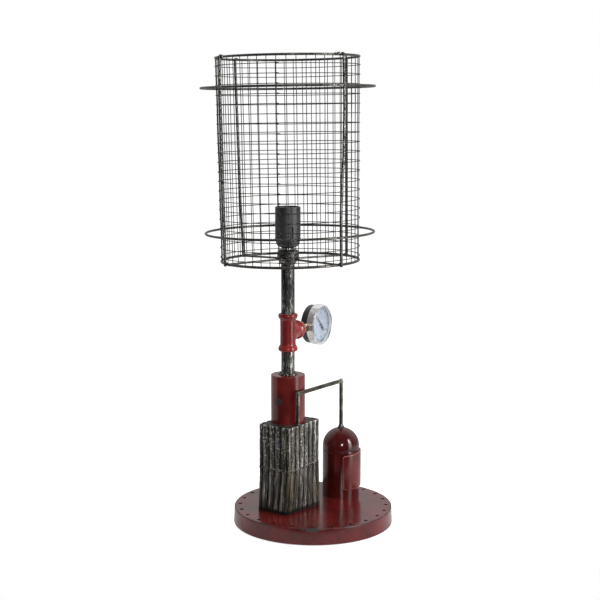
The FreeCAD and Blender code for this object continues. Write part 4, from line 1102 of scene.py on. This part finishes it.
def tie_rod(finish, weld):
    """The bent rod from the dome to the box, with lumps of weld at its corners and ends."""
    over_tank = Vector((TANK.x, TANK.y, ROD_LEVEL))
    over_foot = Vector((ROD_FOOT.x, ROD_FOOT.y, ROD_LEVEL))
    bar = Shape()
    mitred(bar, [Vector((TANK.x, TANK.y, DOME_TOP - 0.2)), over_tank, over_foot, ROD_FOOT], ROD_RADIUS)
    piece("tie_rod_bar", bar, finish, ["tie_rod"], sharp=40)

    beads = Shape()
    for corner, seed in ((over_tank, 2.0), (over_foot, 5.0)):
        for k in range(3):
            shift = Vector((0.5 * (k - 1), -0.2, 1.3 - 1.3 * k))
            beads.blob(corner + shift, (2.9, 3.25, 2.5), seed + k, 0.28)
    piece("rod_corner_welds", beads, finish, sharp=80)

    swell = rippled(3.4, (0.8, 2.5, 1))
    foot = [(2.9, 0), (5.0, 0), (5.1, 0.7), (4.4, 1.5), (3.7, 2.2), (3.2, 3.2), (2.9, 3.3)]
    turned("rod_foot_bead", foot, upright(*ROD_FOOT), weld, ["rod_foot_weld"],
           60, swell, 80)
    flare = [(2.9, 0), (6.4, -1.0), (5.9, -0.3), (4.9, 0.6), (4.1, 1.9), (3.5, 3.6), (3.1, 5.6), (2.9, 5.7)]
    turned("rod_dome_bead", flare, upright(TANK.x, TANK.y, DOME_TOP), weld, (),
           60, swell, 80)


def paint_frame(finishes):
    """Give each CAD node that still shows the finish of its slot."""
    slots = {row["node"]: row["material_slot"] for row in frame["record"]["subparts"]}
    for name, obj in nodes.items():
        obj.data.materials.clear()
        obj.data.materials.append(finishes[slots[name]])


# Stage
LOOK_TURN, LOOK_DOWN = radians(35), radians(8.637)
LOOK = around(LOOK_TURN, 1)
CAMERA_SPOT = Vector((-1.5490, -1.0611, 0.6153))
SENSOR = 36
CAMERA_LENS = 1314.2 * SENSOR / 600
SWEEP_LOW, ROOM_FRONT = 0.42, 0.10
FLOOR_GLOW, FLOOR_FRONT, FLOOR_REACH = 0.66, 200.0, 9000.0
LIGHT_AIM = 0.3
# Degrees right of the camera, distance, height, width, tallness, power, and whether it is mirrored
LIGHTS = {
    "key_right": (62, 1.15, 0.70, 0.26, 0.5, 9.5, True),
    "key_middle": (62, 1.15, 0.225, 0.42, 0.45, 3.6, True),
    "key_low": (62, 1.15, -0.22, 0.42, 0.43, 2.0, True),
    "top_light": (-20, 0.5, 1.6, 0.9, 0.9, 11.0, False),
    "camera_light": (7, 1.9, 0.66, 0.28, 0.28, 12.0, True),
    "left_fill": (-72, 1.6, 0.5, 0.5, 1.0, 2.5, False),
}


def camera():
    data = bpy.data.cameras.new("camera")
    data.lens = CAMERA_LENS
    data.sensor_width = SENSOR
    data.sensor_fit = "HORIZONTAL"
    data.clip_end = 50
    obj = linked("camera", data)
    obj.location = CAMERA_SPOT
    obj.rotation_euler = (radians(90) - LOOK_DOWN, 0, LOOK_TURN - radians(90))
    bpy.context.scene.camera = obj


def softbox(name, turn, distance, height, wide, tall, power, mirrored):
    """An area light at an angle to the camera, aimed at a point in the lamp's lower half."""
    spot = around(radians(215 + turn), distance, height)
    data = bpy.data.lights.new(name, "AREA")
    data.shape = "RECTANGLE"
    data.size, data.size_y = wide, tall
    data.energy = power
    obj = linked(name, data)
    obj.location = spot
    obj.rotation_euler = (Vector((0, 0, LIGHT_AIM)) - spot).to_track_quat("-Z", "Y").to_euler()
    obj.visible_glossy = mirrored


def world():
    """A white sweep behind the lamp, a dim room before it; plain white where seen directly."""
    g = Graph("studio", "worlds", "Generated")
    bpy.context.scene.world = g.owner
    rise = g.step(g.part(g.place, "Z"), 0.05, 0.55, SWEEP_LOW, 1.0, "LINEAR")
    behind = g.step(g.vector("DOT_PRODUCT", g.place, tuple(LOOK)), -0.35, 0.45, ROOM_FRONT, 1.0)
    background = g.tree.nodes["Background"]
    g.feed(background.inputs["Color"], (1, 1, 1))
    g.feed(background.inputs["Strength"], g.most(g.seen(), g.times(rise, behind)))


def floor():
    """A pale table that ends a little in front of the lamp."""
    shape = Shape()
    across = Vector((LOOK.y, -LOOK.x, 0))
    drop = Vector((0, 0, 0.02))
    runs = [-FLOOR_FRONT + (FLOOR_REACH + FLOOR_FRONT) * k / 8 for k in range(9)]
    widths = [FLOOR_REACH * (k / 4 - 1) for k in range(9)]
    shape.grid([[LOOK * run + across * wide - drop for wide in widths] for run in runs])
    obj = make("floor", shape)
    g = Graph("floor_white")
    white = g.ramp(g.noise(9, 2, 0.5), (0.3, (0.80, 0.80, 0.80)), (0.7, (0.82, 0.82, 0.82)))
    g.finish(Base_Color=white, Roughness=0.9, Specular_IOR_Level=0.0, Emission_Color=(1, 1, 1),
             Emission_Strength=g.times(g.seen(), FLOOR_GLOW))
    obj.data.materials.append(g.owner)


def studio():
    world()
    floor()
    for name, settings in LIGHTS.items():
        softbox(name, *settings)


def slot_finishes():
    """The finish of each material slot, as the CAD nodes that still show wear it."""
    return {
        # The scale on the red makes a lighter or darker copy of one paint: painted light and shade.
        "red_paint": enamel("red_enamel", SLEEVE_CHIPS, painted_light_scale=1.2, shine=0.18),
        "weathered_steel": corrugated_steel(),
        "ballast_iron": plate_steel(),
        "pipe_iron": iron_pipe(),
        "shade_wire": wire_steel("ring_steel", (0.018, 0.017, 0.015), (0.14, 0.13, 0.118), 0.26),
        "bakelite": moulded("black_bakelite", (0.022, 0.021, 0.021), 0.34),
        "pointer_black": moulded("dial_ink", (0.012, 0.012, 0.014), 0.5),
        "porcelain": moulded("white_porcelain", (0.72, 0.70, 0.65), 0.35),
        "brass": plated("worn_brass", (0.45, 0.33, 0.23), (0.24, 0.16, 0.11), 0.26),
        "case_black": moulded("case_enamel", (0.020, 0.020, 0.020), 0.30),
        "bezel_chrome": plated("brushed_bezel", (0.80, 0.80, 0.79), (0.60, 0.58, 0.56), 0.18, 0.76),
        "clear_glass": clear_glass(),
        "dial_white": moulded("dial_enamel", (0.26, 0.30, 0.375), 0.55, 300, 0.01),
        "seat_black": moulded("seat_ring", (0.03, 0.03, 0.03), 0.5),
        "soft_rubber": moulded("black_rubber", (0.02, 0.02, 0.02), 0.62, 1500, 0.05),
        "zinc_steel": plated("zinc_plate", (0.55, 0.56, 0.57), (0.36, 0.36, 0.36), 0.34),
    }


def dress():
    """Make the finishes and every visible piece."""
    finishes = slot_finishes()
    weld = weld_metal()
    ink = finishes["pointer_black"]
    paint_frame(finishes)
    # Each scale on the red below makes a lighter or darker copy of one paint: painted light and shade.
    base_pan(enamel("red_enamel_base", RIM_CHIPS, 0.62, painted_light_scale=0.86, rim=115.5, shine=0.15))
    corrugated_box(finishes["weathered_steel"], weld, finishes["ballast_iron"])
    sleeve(finishes["red_paint"], weld)
    tee(enamel("red_enamel_tee", painted_light_scale=2.1, shine=0.20))
    collar(weld)
    lampholder(finishes["bakelite"])
    mesh_steel = wire_steel("mesh_steel", (0.012, 0.012, 0.012), (0.050, 0.050, 0.050), 0.36)
    mesh_uprights(mesh_steel)
    mesh_hoops(mesh_steel)
    struts(finishes["shade_wire"], weld)
    # The pale ring's paint is a painted reflection.
    graduations(ink, moulded("reflection_ring_paint", (0.62, 0.66, 0.66), 0.4))
    dial_numbers(ink)
    tank(enamel("red_enamel_tank", painted_light_scale=0.60, shine=0.13))
    tank_plate(enamel("red_enamel_plate", edge_wear=0.4, shine=0.16))
    tie_rod(bar_steel(), weld)


bpy.context.scene.view_settings.view_transform = "Standard"
camera()
studio()
dress()
